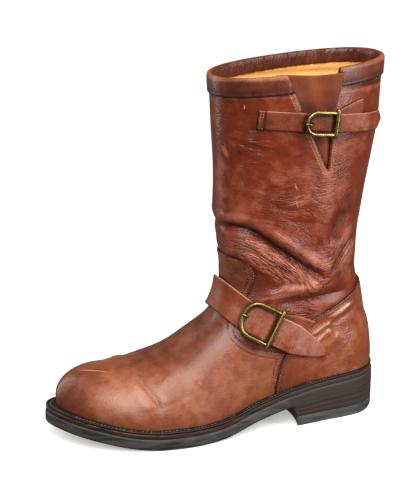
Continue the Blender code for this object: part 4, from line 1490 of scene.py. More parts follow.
@dataclass(frozen=True)
class Palette:
    """Every finish of the boot."""

    # Waxed cowhide that lightens where it is bent: deep red brown, paler along its folds, with painted shade and
    # highlight on its wrinkles, softly shiny
    shaft: Leather = Leather(
        "waxed_shaft_leather", "#361105", "#6F280D", "#A8644E", 0.34, 0.44, coat=0.06, marks=SHAFT_MARKS,
    )
    # The same hide, worn by walking: warmer and paler, cloudy, less shiny, with dark seams
    vamp: Leather = Leather(
        "waxed_vamp_leather", "#3E150A", "#804126", "#AA6E50", 0.4, 0.5, coat=0.06, mottle=0.9, specks=0.14,
        marks=VAMP_MARKS, seam_rows=VAMP_ROWS,
    )
    # The same hide, stiffened and rubbed by the other boot: the shiniest part, nicked and freckled
    counter: Leather = Leather(
        "waxed_counter_leather", "#4A1C0E", "#7E3B20", "#AC6C4A", 0.3, 0.6, coat=0.12, specks=0.2,
        marks=COUNTER_MARKS, seam_rows=COUNTER_ROWS,
    )
    # Thin hide folded over the collar: darkest, with a pale rim
    band: Leather = Leather("waxed_band_leather", "#32100A", "#5E240F", "#9A5836", 0.42, coat=0.06)
    # Firm strap leather: flat, dry and a little dusty
    strap: Leather = Leather("strap_leather", "#3E180A", "#7A371B", "#A67463", 0.5, 0.3)
    # Soft unwaxed hide: matt and even, with a faint nap
    gusset: Leather = Leather(
        "soft_gusset_leather", "#4E2211", "#76371D", "#95553A", 0.72, 0.2, mottle=0.5, sheen=0.1,
    )
    # Cut edge left bare: pale and dry
    raw_edge: Leather = Leather("raw_leather_edge", "#6E3C22", "#A9683F", "#D09A70", 0.7, 0.2)
    # Cut edge stained and waxed: a nearly black line
    dark_edge: Leather = Leather("stained_leather_edge", "#120804", "#22100A", "#4A2A1C", 0.6, 0.2)
    # Vegetable tanned calf: light golden tan, smooth
    lining: Leather = Leather("tan_lining_leather", "#C08A48", "#E6B062", "#F6CB84", 0.6, 0.2, mottle=0.6)
    # Black rubber gone grey: matt and scraped, paler at its rims
    outsole: Stacked = Stacked("sole_rubber", "#232221", "#4C4947", "#857B71", 0.6, 0.75, 0.45)
    # Inked leather edge whose ink has rubbed off in places: dark brown with orange patches
    midsole: Stacked = Stacked("midsole_leather_edge", "#1E0F0A", "#45281A", "#9A5226", 0.6, 0.85)
    # Black dyed leather strip: darkest line of the sole
    welt: Stacked = Stacked("black_welt_leather", "#080706", "#1C1917", "#4E4740", 0.55, 0.5)
    # Pressed leather layers, sanded and waxed: dark brown, nearly even, a little shiny
    heel: Stacked = Stacked("stacked_heel_leather", "#231A19", "#433532", "#6A564C", 0.42, 0.3, 0.03, 0.07)
    # Hard rubber: matt grey
    lift: Stacked = Stacked("lift_rubber", "#2A2A2C", "#4A4A4A", "#74726E", 0.65, 0.6)
    # Cast brass with old tarnish: dull olive gold
    brass: Brass = Brass()
    # Waxed thread in tan, in brown gone dark, and in grey: rows of small dashes
    seam: Thread = Thread("seam_thread", "#C48E5E", "#7A4A2C")
    dark_seam: Thread = Thread("dark_seam_thread", "#A8704A", "#4A2818")
    welt_seam: Thread = Thread("welt_thread", "#6E675E", "#2C2825")


class Finishes:
    """Materials of the palette, each made once."""

    def __init__(self, palette: Palette) -> None:
        """Make every material of a palette."""
        self.made = {name: finish.material() for name, finish in vars(palette).items()}

    def __getattr__(self, name: str) -> Material:
        """Material of one finish, by its name in the palette."""
        return self.__dict__["made"][name]


# Stitches

SEED = 11


@dataclass(frozen=True)
class StitchSize:
    """Size of one kind of stitch."""

    spacing: float = 2.7
    length: float = 2.0
    width: float = 0.75
    height: float = 0.5


@dataclass
class Stitching:
    """Rows of stitches along seams, made by Geometry Nodes."""

    name: str
    size: StitchSize
    thread: Material
    paths: list[tuple[Points, Points]] = field(default_factory=list)

    def add(self, path: Points, up: Points) -> None:
        """Add a row along a path, with the direction that each stitch faces."""
        if len(path) > 2 and np.linalg.norm(np.diff(path, axis=0), axis=1).sum() > 3 * self.size.spacing:
            self.paths.append((path, up))

    def tree(self) -> Tree:
        """Make the node tree that lays a stitch at even steps along each path.

        Returns:
            The tree.
        """
        tree = bpy.data.node_groups.new(self.name + "_nodes", "GeometryNodeTree")
        for label, way, kind in (
            ("Geometry", "INPUT", "Geometry"), ("Spacing", "INPUT", "Float"), ("Length", "INPUT", "Float"),
            ("Width", "INPUT", "Float"), ("Height", "INPUT", "Float"), ("Thread", "INPUT", "Material"),
            ("Geometry", "OUTPUT", "Geometry"),
        ):
            tree.interface.new_socket(label, in_out=way, socket_type="NodeSocket" + kind)
        given = add_node(tree, "NodeGroupInput").node.outputs
        curve = add_node(tree, "GeometryNodeMeshToCurve", {"Mesh": given["Geometry"]})
        inputs = {"Curve": curve, "Length": given["Spacing"]}
        even = add_node(tree, "GeometryNodeResampleCurve", inputs, mode="LENGTH")
        inputs = {"Name": "stitch_up"}
        up = add_node(tree, "GeometryNodeInputNamedAttribute", inputs, "Attribute", data_type="FLOAT_VECTOR")
        inputs = {"Primary Axis": add_node(tree, "GeometryNodeInputTangent"), "Secondary Axis": up}
        turn = add_node(tree, "FunctionNodeAxesToRotation", inputs, primary_axis="X", secondary_axis="Z")
        size = add_node(tree, "ShaderNodeCombineXYZ", (given["Length"], given["Width"], given["Height"]))
        bead = add_node(tree, "GeometryNodeMeshUVSphere", {"Segments": 8, "Rings": 5, "Radius": 0.5})
        stitch = add_node(tree, "GeometryNodeTransform", {"Geometry": bead, "Scale": size})
        inputs = {0: (0.85, 0.85, 0.8), 1: (1.1, 1.15, 1.1), "Seed": SEED}
        varied = add_node(tree, "FunctionNodeRandomValue", inputs, data_type="FLOAT_VECTOR")
        inputs = {"Points": even, "Instance": stitch, "Rotation": turn, "Scale": varied}
        laid = add_node(tree, "GeometryNodeInstanceOnPoints", inputs)
        real = add_node(tree, "GeometryNodeRealizeInstances", {"Geometry": laid})
        smooth = add_node(tree, "GeometryNodeSetShadeSmooth", {"Geometry": real})
        sewn = add_node(tree, "GeometryNodeSetMaterial", {"Geometry": smooth, "Material": given["Thread"]})
        add_node(tree, "NodeGroupOutput", {"Geometry": sewn}, None)
        return tree

    def build(self) -> None:
        """Make the mesh of every stitch in the rows, riding with the boot."""
        points = np.concatenate([path for path, _ in self.paths]) * MM
        edges, first = [], 0
        for path, _ in self.paths:
            edges += [(first + i, first + i + 1) for i in range(len(path) - 1)]
            first += len(path)
        guide = bpy.data.meshes.new(self.name + "_guide")
        guide.from_pydata(points.tolist(), edges, [])
        ups = np.concatenate([up for _, up in self.paths]).astype(np.float32)
        guide.attributes.new("stitch_up", "FLOAT_VECTOR", "POINT").data.foreach_set("vector", ups.ravel())
        row = bpy.data.objects.new(self.name, guide)
        bpy.context.scene.collection.objects.link(row)
        sewing = row.modifiers.new("sewing", "NODES")
        sewing.node_group = self.tree()
        values = {
            "Spacing": self.size.spacing * MM, "Length": self.size.length * MM,
            "Width": self.size.width * MM, "Height": self.size.height * MM, "Thread": self.thread,
        }
        for item in sewing.node_group.interface.items_tree:
            if item.in_out == "INPUT" and item.name in values:
                sewing[item.identifier] = values[item.name]
        bpy.context.view_layer.update()
        graph = bpy.context.evaluated_depsgraph_get()
        sewn = bpy.data.meshes.new_from_object(row.evaluated_get(graph), depsgraph=graph)
        row.modifiers.remove(sewing)
        row.data = sewn
        bpy.data.meshes.remove(guide)
        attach(row, BODY)
        LOG.info("%s: %d rows, %d faces", self.name, len(self.paths), len(sewn.polygons))


# Sub-assemblies

Heights = Callable[[Points], Points]
ON_FACE = 0.1
STITCH_UP = 2.0
CHAPE_RISE = 20.0


@dataclass
class SoleUnit:
    """Outsole, midsole, welt, stacked heel and top lift."""

    shape: SoleShape
    finishes: Finishes
    edge_round: float = 1.5
    edge_fade: float = 12.0
    welt_width: float = 17.0
    welt_stitch_in: float = 4.6
    stations: int = 150
    breast: float = 51.0
    breast_hollow: float = 6.0
    breast_rake: float = 2.5
    heel_height: float = 25.0
    taper: float = 0.6
    top_lift: float = 9.0
    wear: float = 2.5
    wear_start: float = -22.0
    wear_length: float = 18.0
    heel_layers: int = 3
    heel_stain: float = 14.0
    heel_stations: int = 44
    heel_columns: int = 15
    heel_crowding: float = 1.4

    def slab(self, rows: Sequence[tuple[float, Heights, float]]) -> Solid:
        """Solid of sole-shaped loops.

        Args:
            rows: An inset, a height along X and a rim value for each loop, from the bottom up.

        Returns:
            The solid, closed by ladders of faces between matched points of its first and last loop.
        """
        loops = []
        for distance, height, _ in rows:
            loop = self.shape.plan(distance).stations(self.stations)
            loops.append(np.column_stack([loop, height(loop[:, 0])]))
        count = len(loops[0])
        faces = face_list(quads(len(rows), count, True))
        for base in (0, (len(rows) - 1) * count):
            for s in range(self.stations + 1):
                corners = dict.fromkeys((s, s + 1, (count - s - 1) % count, (count - s) % count))
                faces.append(tuple(base + corner for corner in corners))
        points = np.concatenate(loops)
        rim = np.repeat([row[2] for row in rows], count) * self.rubbed(points[:, 0])
        stain = smoothstep((self.breast + self.heel_stain - points[:, :1]) / self.heel_stain)
        return Solid(points, faces, [Surface.OUTER] * len(faces), {"rim": rim[:, None], "heel": stain})

    @staticmethod
    def rubbed(x: Points) -> Points:
        """How far the rims are worn along the sole: most at the toe and behind the heel."""
        toe, back = smoothstep((x - 110) / 70), smoothstep((12 - x) / 40)
        return 0.4 + 0.6 * toe + 0.45 * back

    def build_outsole(self) -> None:
        """Rubber outsole, its lower edge rounded ahead of the heel."""
        sole, edge = self.shape, self.edge_round
        free = smoothstep((sole.loop[:, 0] - self.breast) / self.edge_fade)
        rows = (
            (edge * free, sole.bottom, 0.2),
            (edge * 0.35 * free, lambda x: sole.bottom(x) + edge * 0.35, 0.9),
            (0, lambda x: sole.bottom(x) + edge, 0.6), (0, lambda x: sole.bottom(x) + 3.5, 0.0),
            (0, lambda x: sole.top(x) - 3.0, 0.0), (0, lambda x: sole.top(x) - edge, 0.2),
            (edge * 0.2, lambda x: sole.top(x) - edge * 0.4, 0.8), (edge * 0.5, sole.top, 0.6),
        )
        solid = self.slab(rows)
        solid.paint["rim"] *= 1 - 0.75 * solid.paint["heel"]
        piece = make_piece("rubber_outsole", solid, self.finishes.outsole)
        stand_for("outsole")

    def build_midsole(self) -> None:
        """Leather midsole with rubbed upper rim."""
        low, tall, edge = self.shape.midsole_bottom, GAUGE.midsole, self.edge_round / 2
        rows = (
            (edge + 0.4, low, 0.0), (edge, lambda x: low(x) + 0.4, 0.1),
            (edge, lambda x: low(x) + tall * 0.55, 0.1), (edge, lambda x: low(x) + tall - 0.6, 0.85),
            (edge + 0.5, lambda x: low(x) + tall, 1.0),
        )
        piece = make_piece("leather_midsole", self.slab(rows), self.finishes.midsole)
        stand_for("midsole")

    def build_welt(self) -> None:
        """Welt strip with a groove for its stitches, and the stitches in it."""
        low, tall, edge = self.shape.welt_bottom, GAUGE.welt, self.edge_round / 2
        profile = (
            (edge + 0.3, 0.0, 0.2), (edge, 0.5, 0.5), (edge, tall - 0.6, 0.6), (edge + 0.7, tall, 0.9),
            (self.welt_stitch_in - 1.2, tall, 0.4), (self.welt_stitch_in, tall - 0.5, 0.0),
            (self.welt_stitch_in + 1.2, tall, 0.2), (self.welt_width, tall, 0.0), (self.welt_width, 0.0, 0.0),
            (edge + 0.3, 0.0, 0.2),
        )
        loops = []
        for distance, height, _ in profile:
            loop = self.shape.plan(distance).stations(self.stations)
            loops.append(np.column_stack([loop, low(loop[:, 0]) + height]))
        solid = loft(np.stack(loops), caps=False)
        rim = np.repeat([row[2] for row in profile], len(loops[0])) * self.rubbed(solid.points[:, 0])
        solid.paint["rim"] = rim[:, None]
        piece = make_piece("black_welt", solid, self.finishes.welt)
        stand_for("welt")
        loop = inset(self.shape.loop, self.welt_stitch_in)
        loop = np.concatenate([loop, loop[:1]])
        path = np.column_stack([loop, low(loop[:, 0]) + tall - 0.25])
        sewing = Stitching("welt_stitches", StitchSize(3.3, 2.3, 1.0, 0.7), self.finishes.welt_seam)
        sewing.add(path, np.tile(UP, (len(path), 1)))
        sewing.build()

    def heel_block(self, rows: Sequence[tuple[float, float, Heights, float]]) -> Solid:
        """Heel layer from its breast round the back.

        Args:
            rows: An inset, a breast, a height along X and a rim value for each loop, from the bottom up.

        Returns:
            The solid.
        """
        stations, columns = self.heel_stations, self.heel_columns
        share = np.sin(np.linspace(0, np.pi / 2, stations + 1)) ** self.heel_crowding
        points = []
        for distance, breast, height, _ in rows:
            plan = self.shape.plan(distance)
            for side in np.linspace(0, 1, columns):
                hollow = self.breast_hollow * (1 - (2 * side - 1) ** 2)
                x = breast - (breast - plan.low) * share - hollow * (1 - share)
                outer, inner = plan.sides(x)
                points.append(np.column_stack([x, outer * (1 - side) + inner * side, height(x)]))
        line = stations + 1
        layer = columns * line
        caps = quads(columns, line, False)
        faces = face_list(caps)
        faces += face_list(caps + (len(rows) - 1) * layer)
        inner_edge = [(columns - 1) * line + s for s in range(stations, -1, -1)]
        edge = list(range(line)) + inner_edge + [c * line for c in range(columns - 2, 0, -1)]
        for r in range(len(rows) - 1):
            for a, b in zip(edge, edge[1:] + edge[:1]):
                faces.append((r * layer + a, r * layer + b, (r + 1) * layer + b, (r + 1) * layer + a))
        rim = np.repeat([row[3] for row in rows], layer).astype(float)
        return Solid(np.concatenate(points), faces, [Surface.OUTER] * len(faces), {"rim": rim[:, None]})

    def build_heel(self) -> None:
        """Stacked heel with its layers, and the rubber lift that it stands on."""
        sole = self.shape

        def lift_bottom(x: Points) -> Points:
            """Underside of the lift, worn off at the back."""
            return self.wear * np.clip((self.wear_start - x) / self.wear_length, 0, 1) ** 2

        def sized(height: float, groove: float, at: Heights, rim: float) -> tuple[float, float, Heights, float]:
            """Row of the heel, tapered to a height and set in by a groove."""
            below = 1 - height / self.heel_height
            return self.taper * below + groove, self.breast - self.breast_rake * below - groove, at, rim

        lift = self.top_lift
        rows = (
            sized(0, 0.7, lift_bottom, 0.5), sized(0, 0.1, lambda x: lift_bottom(x) + 0.6, 1.0),
            sized(3, 0, lambda x: np.maximum(lift_bottom(x) + 1.5, 3.0), 0.2),
            sized(lift - 0.8, 0, lambda x: np.full_like(x, lift - 0.8), 0.1),
            sized(lift, 0.5, lambda x: np.full_like(x, lift), 0.4),
        )
        piece = make_piece("rubber_top_lift", self.heel_block(rows), self.finishes.lift)
        stand_for("heel_top_lift")
        low = lift + GAUGE.gap
        rows = []
        for layer in range(self.heel_layers):
            for share, groove in ((0.0, 0.04), (0.03, 0.0), (0.97, 0.0), (1.0, 0.04)):
                part = (layer + share) / self.heel_layers

                def height(x: Points, part: float = part) -> Points:
                    """Height of this row."""
                    return low + (sole.bottom(x) - GAUGE.gap - low) * part

                rows.append(sized(lift + (self.heel_height - lift) * part, groove, height, 0.1))
        piece = make_piece("stacked_heel", self.heel_block(rows), self.finishes.heel)
        stand_for("heel_stack")

    def build(self) -> None:
        """Make every piece of the sole."""
        self.build_outsole()
        self.build_midsole()
        self.build_welt()
        self.build_heel()


@dataclass
class LeatherUpper:
    """Hollow upper with its vamp, heel counter, collar band and gusset."""

    last: BootLast
    finishes: Finishes
    wear: Wear = Wear()
    shaft_fans: tuple[int, int, int] = (52, 76, 40)
    shaft_rings: tuple[tuple[float, float, int], ...] = ((0, 12, 12), (12, 19, 32), (19, 31, 82), (31, 40, 56))
    foot_fans: tuple[int, int, int] = (70, 84, 44)
    foot_rings: tuple[tuple[float, float, int], ...] = ((0, 10, 34), (10, 19, 70), (19, 29, 60))
    edge_roll: float = 1.6
    edge_drop: float = 0.7
    seam_depth: float = 0.3
    seam_width: float = 0.8
    outer_side: float = 15.0
    well_away: float = -60.0
    band_height: float = 15.0
    band_low: float = 303.0
    facing_height: float = 11.0
    gusset_lap: float = 3.0
    lap_from: float = 278.0
    lap_over: float = 10.0
    gusset_tuck: float = 5.0
    gusset_overlap: float = 8.0
    gusset_rings: tuple[tuple[float, float, int], ...] = ((225, 300, 46), (301.5, 316.5, 11))
    gusset_columns: int = 40
    panel_corner: int = 4
    curve_steps: int = 8
    opening_steps: int = 40
    opening_rows: tuple[float, float] = (2.2, 4.8)
    vamp_edge: tuple[tuple[float, float], ...] = (
        (69.5, 10), (69.5, 34), (68, 46), (64.5, 60), (60, 68), (75, 72), (88, 76), (98, 81.5), (104, 89),
        (103, 97), (97, 108), (91, 120), (86, 130), (84, 140), (88, 149), (96, 154), (105, 156.5), (130, 158),
    )
    counter_edge: tuple[tuple[float, float], ...] = (
        (69, 10), (69, 34), (67.5, 46), (64, 60), (58, 69), (38, 90), (30, 96), (5, 106.5), (-9, 113),
        (-16, 119), (-24, 122), (-60, 124),
    )
    opening: Table = Table("z front_x back_x", (
        (231, 22.5, 22.0), (262, 37.5, 19.5), (288, 49, 16.5), (325, 65.5, 8.5), (360, 81, 1),
    ))

    @staticmethod
    def numbers(parts: Sequence[tuple[float, float, int]]) -> Points:
        """Ring numbers from parts of a start, an end and a count of steps."""
        rings = [np.linspace(low, high, steps + 1)[:-1] for low, high, steps in parts]
        return np.concatenate(rings + [[parts[-1][1]]])

    def outline(self, edge: Sequence[tuple[float, float]], rest: Sequence[tuple[float, float]]) -> Points:
        """Outline of an overlay: smooth along its edge, sharp at one corner, straight elsewhere.

        Args:
            edge: Places along the edge, in X and Z.
            rest: Corners of the rest.

        Returns:
            The closed outline.
        """
        corner, steps = self.panel_corner, self.curve_steps
        lower, upper = spline(edge[: corner + 1], steps, closed=False), spline(edge[corner:], steps, closed=False)
        return np.concatenate([lower, upper[1:], np.array(rest)])

    def opening_outline(self) -> Points:
        """Outline of the opening in the outer side of the shaft, its back edge under the gusset's lap.

        Returns:
            The closed outline, in X and Z.
        """
        heights = np.linspace(self.opening.rows[0][0], self.opening.rows[-1][0], self.opening_steps)
        lap = self.gusset_lap * smoothstep((heights - self.lap_from) / self.lap_over)
        front = np.column_stack([self.opening.at("front_x", heights), heights])
        back = np.column_stack([self.opening.at("back_x", heights) + lap, heights])
        return np.concatenate([front, back[::-1]])

    def opening_field(self, grid: Points) -> Points:
        """How far points lie inside the opening.

        Args:
            grid: The points.

        Returns:
            One distance for each, below 0 on the leather round it.
        """
        inside = -signed_distance(self.opening_outline(), grid[..., 0], grid[..., 2])
        return np.where(grid[..., 1] > self.outer_side, inside, self.well_away)

    def build_shaft(self) -> tuple[Points, Points, Points]:
        """Hollow wall of the whole upper, creased outside and lined inside, with its opening and seams.

        Returns:
            The collar's points, their outward directions and their upward directions.
        """
        base = self.last.skin(self.numbers(self.shaft_rings), self.shaft_fans)
        normals = grid_normals(base)
        offset, main = self.wear.offsets(base, normals)
        outer = base + normals * offset[..., None]
        inner = base + normals * (main - GAUGE.wall)[..., None]
        into = self.opening_field(base)
        rolled = smoothstep(1 + into / self.edge_roll)
        outer = outer - normals * (self.edge_drop * rolled)[..., None]
        paint = self.wear.paint(base, normals, offset)
        # The opening's rolled-over edge gets painted shade. Under the collar band the shaft gets a painted shadow, with
        # a painted lit line just below it
        over_band = base[..., 2] - self.band_low
        pale_rim, shaded_turn = 0.18 * bell((into + 3.5) / 2.2), 0.55 * rolled
        shadow_under_band, lit_line_under_band = 0.5 * bell(over_band / 1.6), 0.22 * bell((over_band + 4.2) / 1.5)
        hem_and_shading = pale_rim - shaded_turn - shadow_under_band + lit_line_under_band
        paint["tone"] = paint["tone"] + hem_and_shading.reshape(-1, 1)
        kept = clip(into)
        solid = thicken(kept.layer(outer), kept.layer(inner), kept.faces, kept.painted(paint))
        made = self.finishes
        piece = make_piece("leather_upper", solid, made.shaft, inner=made.lining, edge=made.dark_edge)
        stand_for("upper")
        sewing = Stitching("opening_stitches", StitchSize(2.5, 1.9, 0.8, 0.5), self.finishes.seam)
        for row in self.opening_rows:
            for line in level_lines(into, -row):
                path, up = self.along(outer, normals, *line)
                for run in runs(path[:, 2] < self.band_low):
                    sewing.add(path[run], up[run])
        sewing.build()
        return outer[-1], normals[-1], unit(outer[-1] - outer[-4])

    @staticmethod
    def along(
        grid: Points, normals: Points, first: Points, second: Points, share: Points
    ) -> tuple[Points, Points]:
        """Follow a level line just over a layer of a grid.

        Args:
            grid: Points of the layer.
            normals: Its outward directions.
            first: Index of the grid point before each place of the line.
            second: Index of the grid point after it.
            share: Part of the way between the two.

        Returns:
            The line's points and outward directions.
        """
        flat, up = grid.reshape(-1, 3), normals.reshape(-1, 3)
        part = share[:, None]
        facing = unit(up[first] * (1 - part) + up[second] * part)
        return flat[first] * (1 - part) + flat[second] * part + facing * ON_FACE, facing

    def build_panels(self) -> None:
        """Vamp and heel counter: layers on the upper with rolled, stained edges and stitched seams."""
        base = self.last.skin(self.numbers(self.foot_rings), self.foot_fans)
        normals = grid_normals(base)
        offset, _ = self.wear.offsets(base, normals)
        skin = base + normals * offset[..., None]
        paint = self.wear.paint(base, normals, offset)
        vamp = self.outline(self.vamp_edge, ((320, 158), (320, 10)))
        counter = self.outline(self.counter_edge, ((-60, 10),))
        sewing = Stitching("panel_stitches", StitchSize(2.4, 1.8, 0.7, 0.45), self.finishes.dark_seam)
        jobs = (
            ("leather_vamp", "vamp", vamp, self.finishes.vamp, VAMP_ROWS),
            ("leather_heel_counter", "heel_counter", counter, self.finishes.counter, COUNTER_ROWS),
        )
        for name, node, outline, leather, rows in jobs:
            distance = signed_distance(outline, base[..., 0], base[..., 2])
            inward = np.clip(-distance / self.edge_roll, 0, 1)
            thick = GAUGE.overlay * (0.5 + 0.5 * np.sqrt(1 - (1 - inward) ** 2))
            grooves = sum(self.seam_depth * bell((distance + row) / self.seam_width) for row in rows)
            outer = skin + normals * (GAUGE.gap + thick - grooves)[..., None]
            under = skin + normals * (GAUGE.gap * 0.6)
            kept = clip(distance)
            worn = kept.painted(paint | {"edge": -distance.reshape(-1, 1)})
            solid = thicken(kept.layer(outer), kept.layer(under), kept.faces, worn)
            piece = make_piece(name, solid, leather, edge=self.finishes.dark_edge)
            stand_for(node)
            for row in rows:
                for line in level_lines(distance, -row):
                    sewing.add(*self.along(outer, normals, *line))
        sewing.build()

    def build_collar(self, top: Points, out: Points, up: Points) -> None:
        """Band folded over the collar, with its groove and stitches, and the facing inside it.

        Args:
            top: Points of the collar.
            out: Their outward directions.
            up: Their upward directions.
        """
        gap, thick, wall, facing = GAUGE.gap, GAUGE.band, GAUGE.wall, self.facing_height
        low, outer, within = -self.band_height, gap + thick, -wall - gap
        profile = (
            (gap, low), (outer * 0.75, low - 0.1), (outer, low + 0.7), (outer, low + 2.0),
            (outer - 0.12, low + 2.7), (outer, low + 3.4), (outer + 0.1, low + 8), (outer, -2.5),
            (outer * 0.85, -0.3), (outer * 0.4, gap + thick * 0.8), (-wall * 0.4, gap + thick),
            (-wall, gap + thick * 0.75), (within - 0.8, gap - 0.2), (within - 1.0, -3),
            (within - 1.0, -facing + 2), (within - 0.7, -facing), (within, -facing),
            (within, gap * 0.5), (gap, gap * 0.5), (gap, low),
        )
        number = np.arange(len(top))
        wave = 0.25 * np.sin(number * 0.55) + 0.2 * np.sin(number * 1.31)
        rows = []
        for across, along in profile:
            ripple = wave * smoothstep((-across - 2) / 1.5)
            rows.append(top + out * (across + ripple)[:, None] + up * along)
        loops = np.stack(rows)
        kept = clip(self.opening_field(loops) + 0.1)
        u, v = np.repeat(profile, len(top), axis=0).T
        # Painted shade on the band's lower lip and in its groove, a paler rim on top, and slightly darker leather
        # inside
        edge = np.select([v < low + 1, v <= low + 3.4], [1.2, 0.4])
        inside = (u < -wall) * 1.0
        rim = 0.28 * ((v > -1) & (u > -1))
        tone = rim - 0.5 * edge - 0.1 * inside
        flow = np.column_stack([np.tile(number, len(profile)) * 1.6 + 0.1 * v, 0 * v, 0.15 * v]) * MM
        paint = {"tone": tone[:, None], "fold": (0.06 + 0.3 * inside)[:, None], "flow": flow}
        sides = [Surface.OUTER] * len(kept.faces)
        solid = Solid(kept.layer(loops), kept.faces, sides, kept.painted(paint))
        piece = make_piece("leather_collar_band", solid, self.finishes.band, fill=True)
        stand_for("collar_band")
        sewing = Stitching("collar_stitches", StitchSize(2.3, 1.7, 0.6, 0.4), self.finishes.dark_seam)
        for level, raised in ((low + 2.7, outer - 0.3), (low - 1.2, 0.15)):
            row = top + out * raised + up * level
            free = self.opening_field(row) < -1.5
            order = np.roll(np.arange(len(row)), -int(np.argmax(~free)))
            for run in runs(free[order]):
                sewing.add(row[order[run]], out[order[run]])
        sewing.build()

    def build_gusset(self) -> None:
        """Soft panel in the opening: behind its front edge, lapped over its back edge above the strap."""
        heights = np.concatenate([np.linspace(*part) for part in self.gusset_rings])
        across = np.linspace(0, 1, self.gusset_columns)
        fronts, backs, tones, flow = [], [], [], []
        for z in heights:
            under_band, over_band = smoothstep((z - 292) / 12), smoothstep((z - 294) / 9)
            flush, untucked, rise = smoothstep((z - 262) / 18), smoothstep((z - 254) / 8), smoothstep((z - 296) / 20)
            hidden = -(GAUGE.wall + 2 * GAUGE.gap) - 1.6 * under_band
            lapped = 1.5 * GAUGE.gap + (GAUGE.band + GAUGE.gap) * over_band + GAUGE.gusset
            front, back = self.opening.at("front_x", z), self.opening.at("back_x", z)
            start, edge, over = front + self.gusset_overlap, front - 2, back + self.gusset_lap + 2
            end = back + 2 * GAUGE.gap * (1 - flush) - self.gusset_tuck * (1 - untucked)
            x = start + (end - start) * across
            past_edge = smoothstep((edge - x) / np.maximum(edge - over, 1))
            sag = rise * 0.4 * np.sin(across * 8.0 + 0.6) * smoothstep(across / 0.4) * smoothstep((1 - across) / 0.3)
            offset = hidden + (lapped - hidden) * past_edge * flush + sag
            level = z + rise * (0.7 * np.sin(across * 6.5 + 1.2) - 0.7)
            places = np.column_stack([x, 0 * x, level])
            way = np.tile(SIDE, (len(x), 1))
            fronts.append(self.last.cast(places, way, offset))
            backs.append(self.last.cast(places, way, offset - GAUGE.gusset))
            streaks = 0.12 * np.sin(across * 9 + 0.03 * z) + 0.05 * np.sin(across * 17 + 0.05 * z + 2)
            shaded = 0.5 * bell((x - edge - 2) / 1.8) + 0.3 * bell((z - 288) / 7)
            tones.append(streaks - shaded + 0.3 * bell((heights[-1] - z) / 1.2))
            flow.append(np.column_stack([x, 0 * x, np.full_like(x, 0.12 * z)]) * MM)
        faces = face_list(quads(len(heights), len(across), False))
        paint = {"tone": np.concatenate(tones)[:, None], "flow": np.concatenate(flow)}
        paint["fold"] = np.full_like(paint["tone"], 0.07)
        solid = thicken(np.concatenate(fronts), np.concatenate(backs), faces, paint)
        piece = make_piece("soft_gusset", solid, self.finishes.gusset, edge=self.finishes.dark_edge)
        stand_for("gusset")

    def build(self) -> None:
        """Make every piece of the upper."""
        collar = self.build_shaft()
        self.build_panels()
        self.build_collar(*collar)
        self.build_gusset()


@dataclass
class StrapLine:
    """Line of a strap round the upper: a tilted plane, measured along and across from the side.

    A station runs along the outer side. Past the front end of the spine it counts degrees round the front,
    then millimetres back along the inner side, and past the back end it counts degrees round the back.
    """

    last: BootLast
    tilt: float
    height: float
    spine_front: float
    spine_back: float
    rubbed_edge: float = 0.45
    dark_edge: float = 0.3
    edge_roll: float = 1.3
    dome: float = 0.3
    shares: tuple[float, ...] = (1, 0.985, 0.955, 0.91, 0.84, 0.75, 0.64, 0.53, 0.42, 0.3, 0.2, 0.1)

    def point(self, station: Points | float, drift: Points | float, offset: Points | float) -> Points:
        """Find points over the upper.

        Args:
            station: Places along the line.
            drift: Places across it.
            offset: Heights over the last.

        Returns:
            The points.
        """
        station, drift, offset = (
            np.array(values, dtype=float) for values in np.broadcast_arrays(*np.atleast_1d(station, drift, offset))
        )
        ahead = np.clip(station - self.spine_front, 0, 180)
        behind = np.clip(self.spine_back - station, 0, 90)
        inner = np.maximum(station - self.spine_front - 180, 0)
        on_spine = np.clip(station, self.spine_back, self.spine_front) - inner
        angle = np.radians(90 - ahead + behind)[:, None]
        along, across = tilted(self.tilt), tilted(self.tilt + 90)
        start = along * on_spine[:, None] + across * (self.height + drift)[:, None]
        way = along * np.cos(angle) + SIDE * np.sin(angle)
        return self.last.cast(start, way, offset)

    def strip(
        self, stations: Points, half_width: Points, base: Points, thick: float, shift: Points,
        tone: Callable[[Points, Points], Points], fold: Points,
    ) -> Solid:
        """Strap along stations, with rolled edges.

        Args:
            stations: Places along the strap.
            half_width: Half width at each.
            base: Height of the strap's underside over the last at each.
            thick: Thickness of the leather.
            shift: Sideways shift at each.
            tone: Lighter or darker leather, from places along and across.
            fold: Fine wrinkles at each.

        Returns:
            The strap's solid.
        """
        shares = np.concatenate([-np.array(self.shares), [0], self.shares[::-1]])
        fronts, backs, flow, tones = [], [], [], []
        for share in shares:
            from_edge = np.clip((1 - abs(share)) * half_width / self.edge_roll, 0, 1)
            rolled = thick * (0.6 + 0.4 * np.sqrt(1 - (1 - from_edge) ** 2)) + self.dome * (1 - share**2)
            drift = half_width * share + shift
            fronts.append(self.point(stations, drift, base + rolled))
            backs.append(self.point(stations, drift, base))
            flow.append(np.column_stack([stations, 0.4 * drift, 0.2 * base]) * MM)
            upper, lower = smoothstep((share - 0.93) / 0.05), smoothstep((-share - 0.93) / 0.05)
            tones.append(tone(stations, drift) + (self.rubbed_edge * upper - self.dark_edge * lower))
        faces = face_list(quads(len(shares), len(stations), False))
        paint = {"tone": np.concatenate(tones)[:, None], "fold": np.tile(fold, len(shares))[:, None]}
        paint["flow"] = np.concatenate(flow)
        return thicken(np.concatenate(fronts), np.concatenate(backs), faces, paint)

    def sew(
        self, sewing: Stitching, station: Points | float, drift: Points, face: float, raised: float = 0.35
    ) -> None:
        """Add a row of stitches on a strap.

        Args:
            sewing: Stitching that the row joins.
            station: Places along the strap.
            drift: Places across it.
            face: Height of the strap's face over the last.
            raised: How far the thread lies over the face.
        """
        places = self.point(station, drift, face + raised)
        sewing.add(places, unit(self.point(station, drift, face + STITCH_UP) - places))


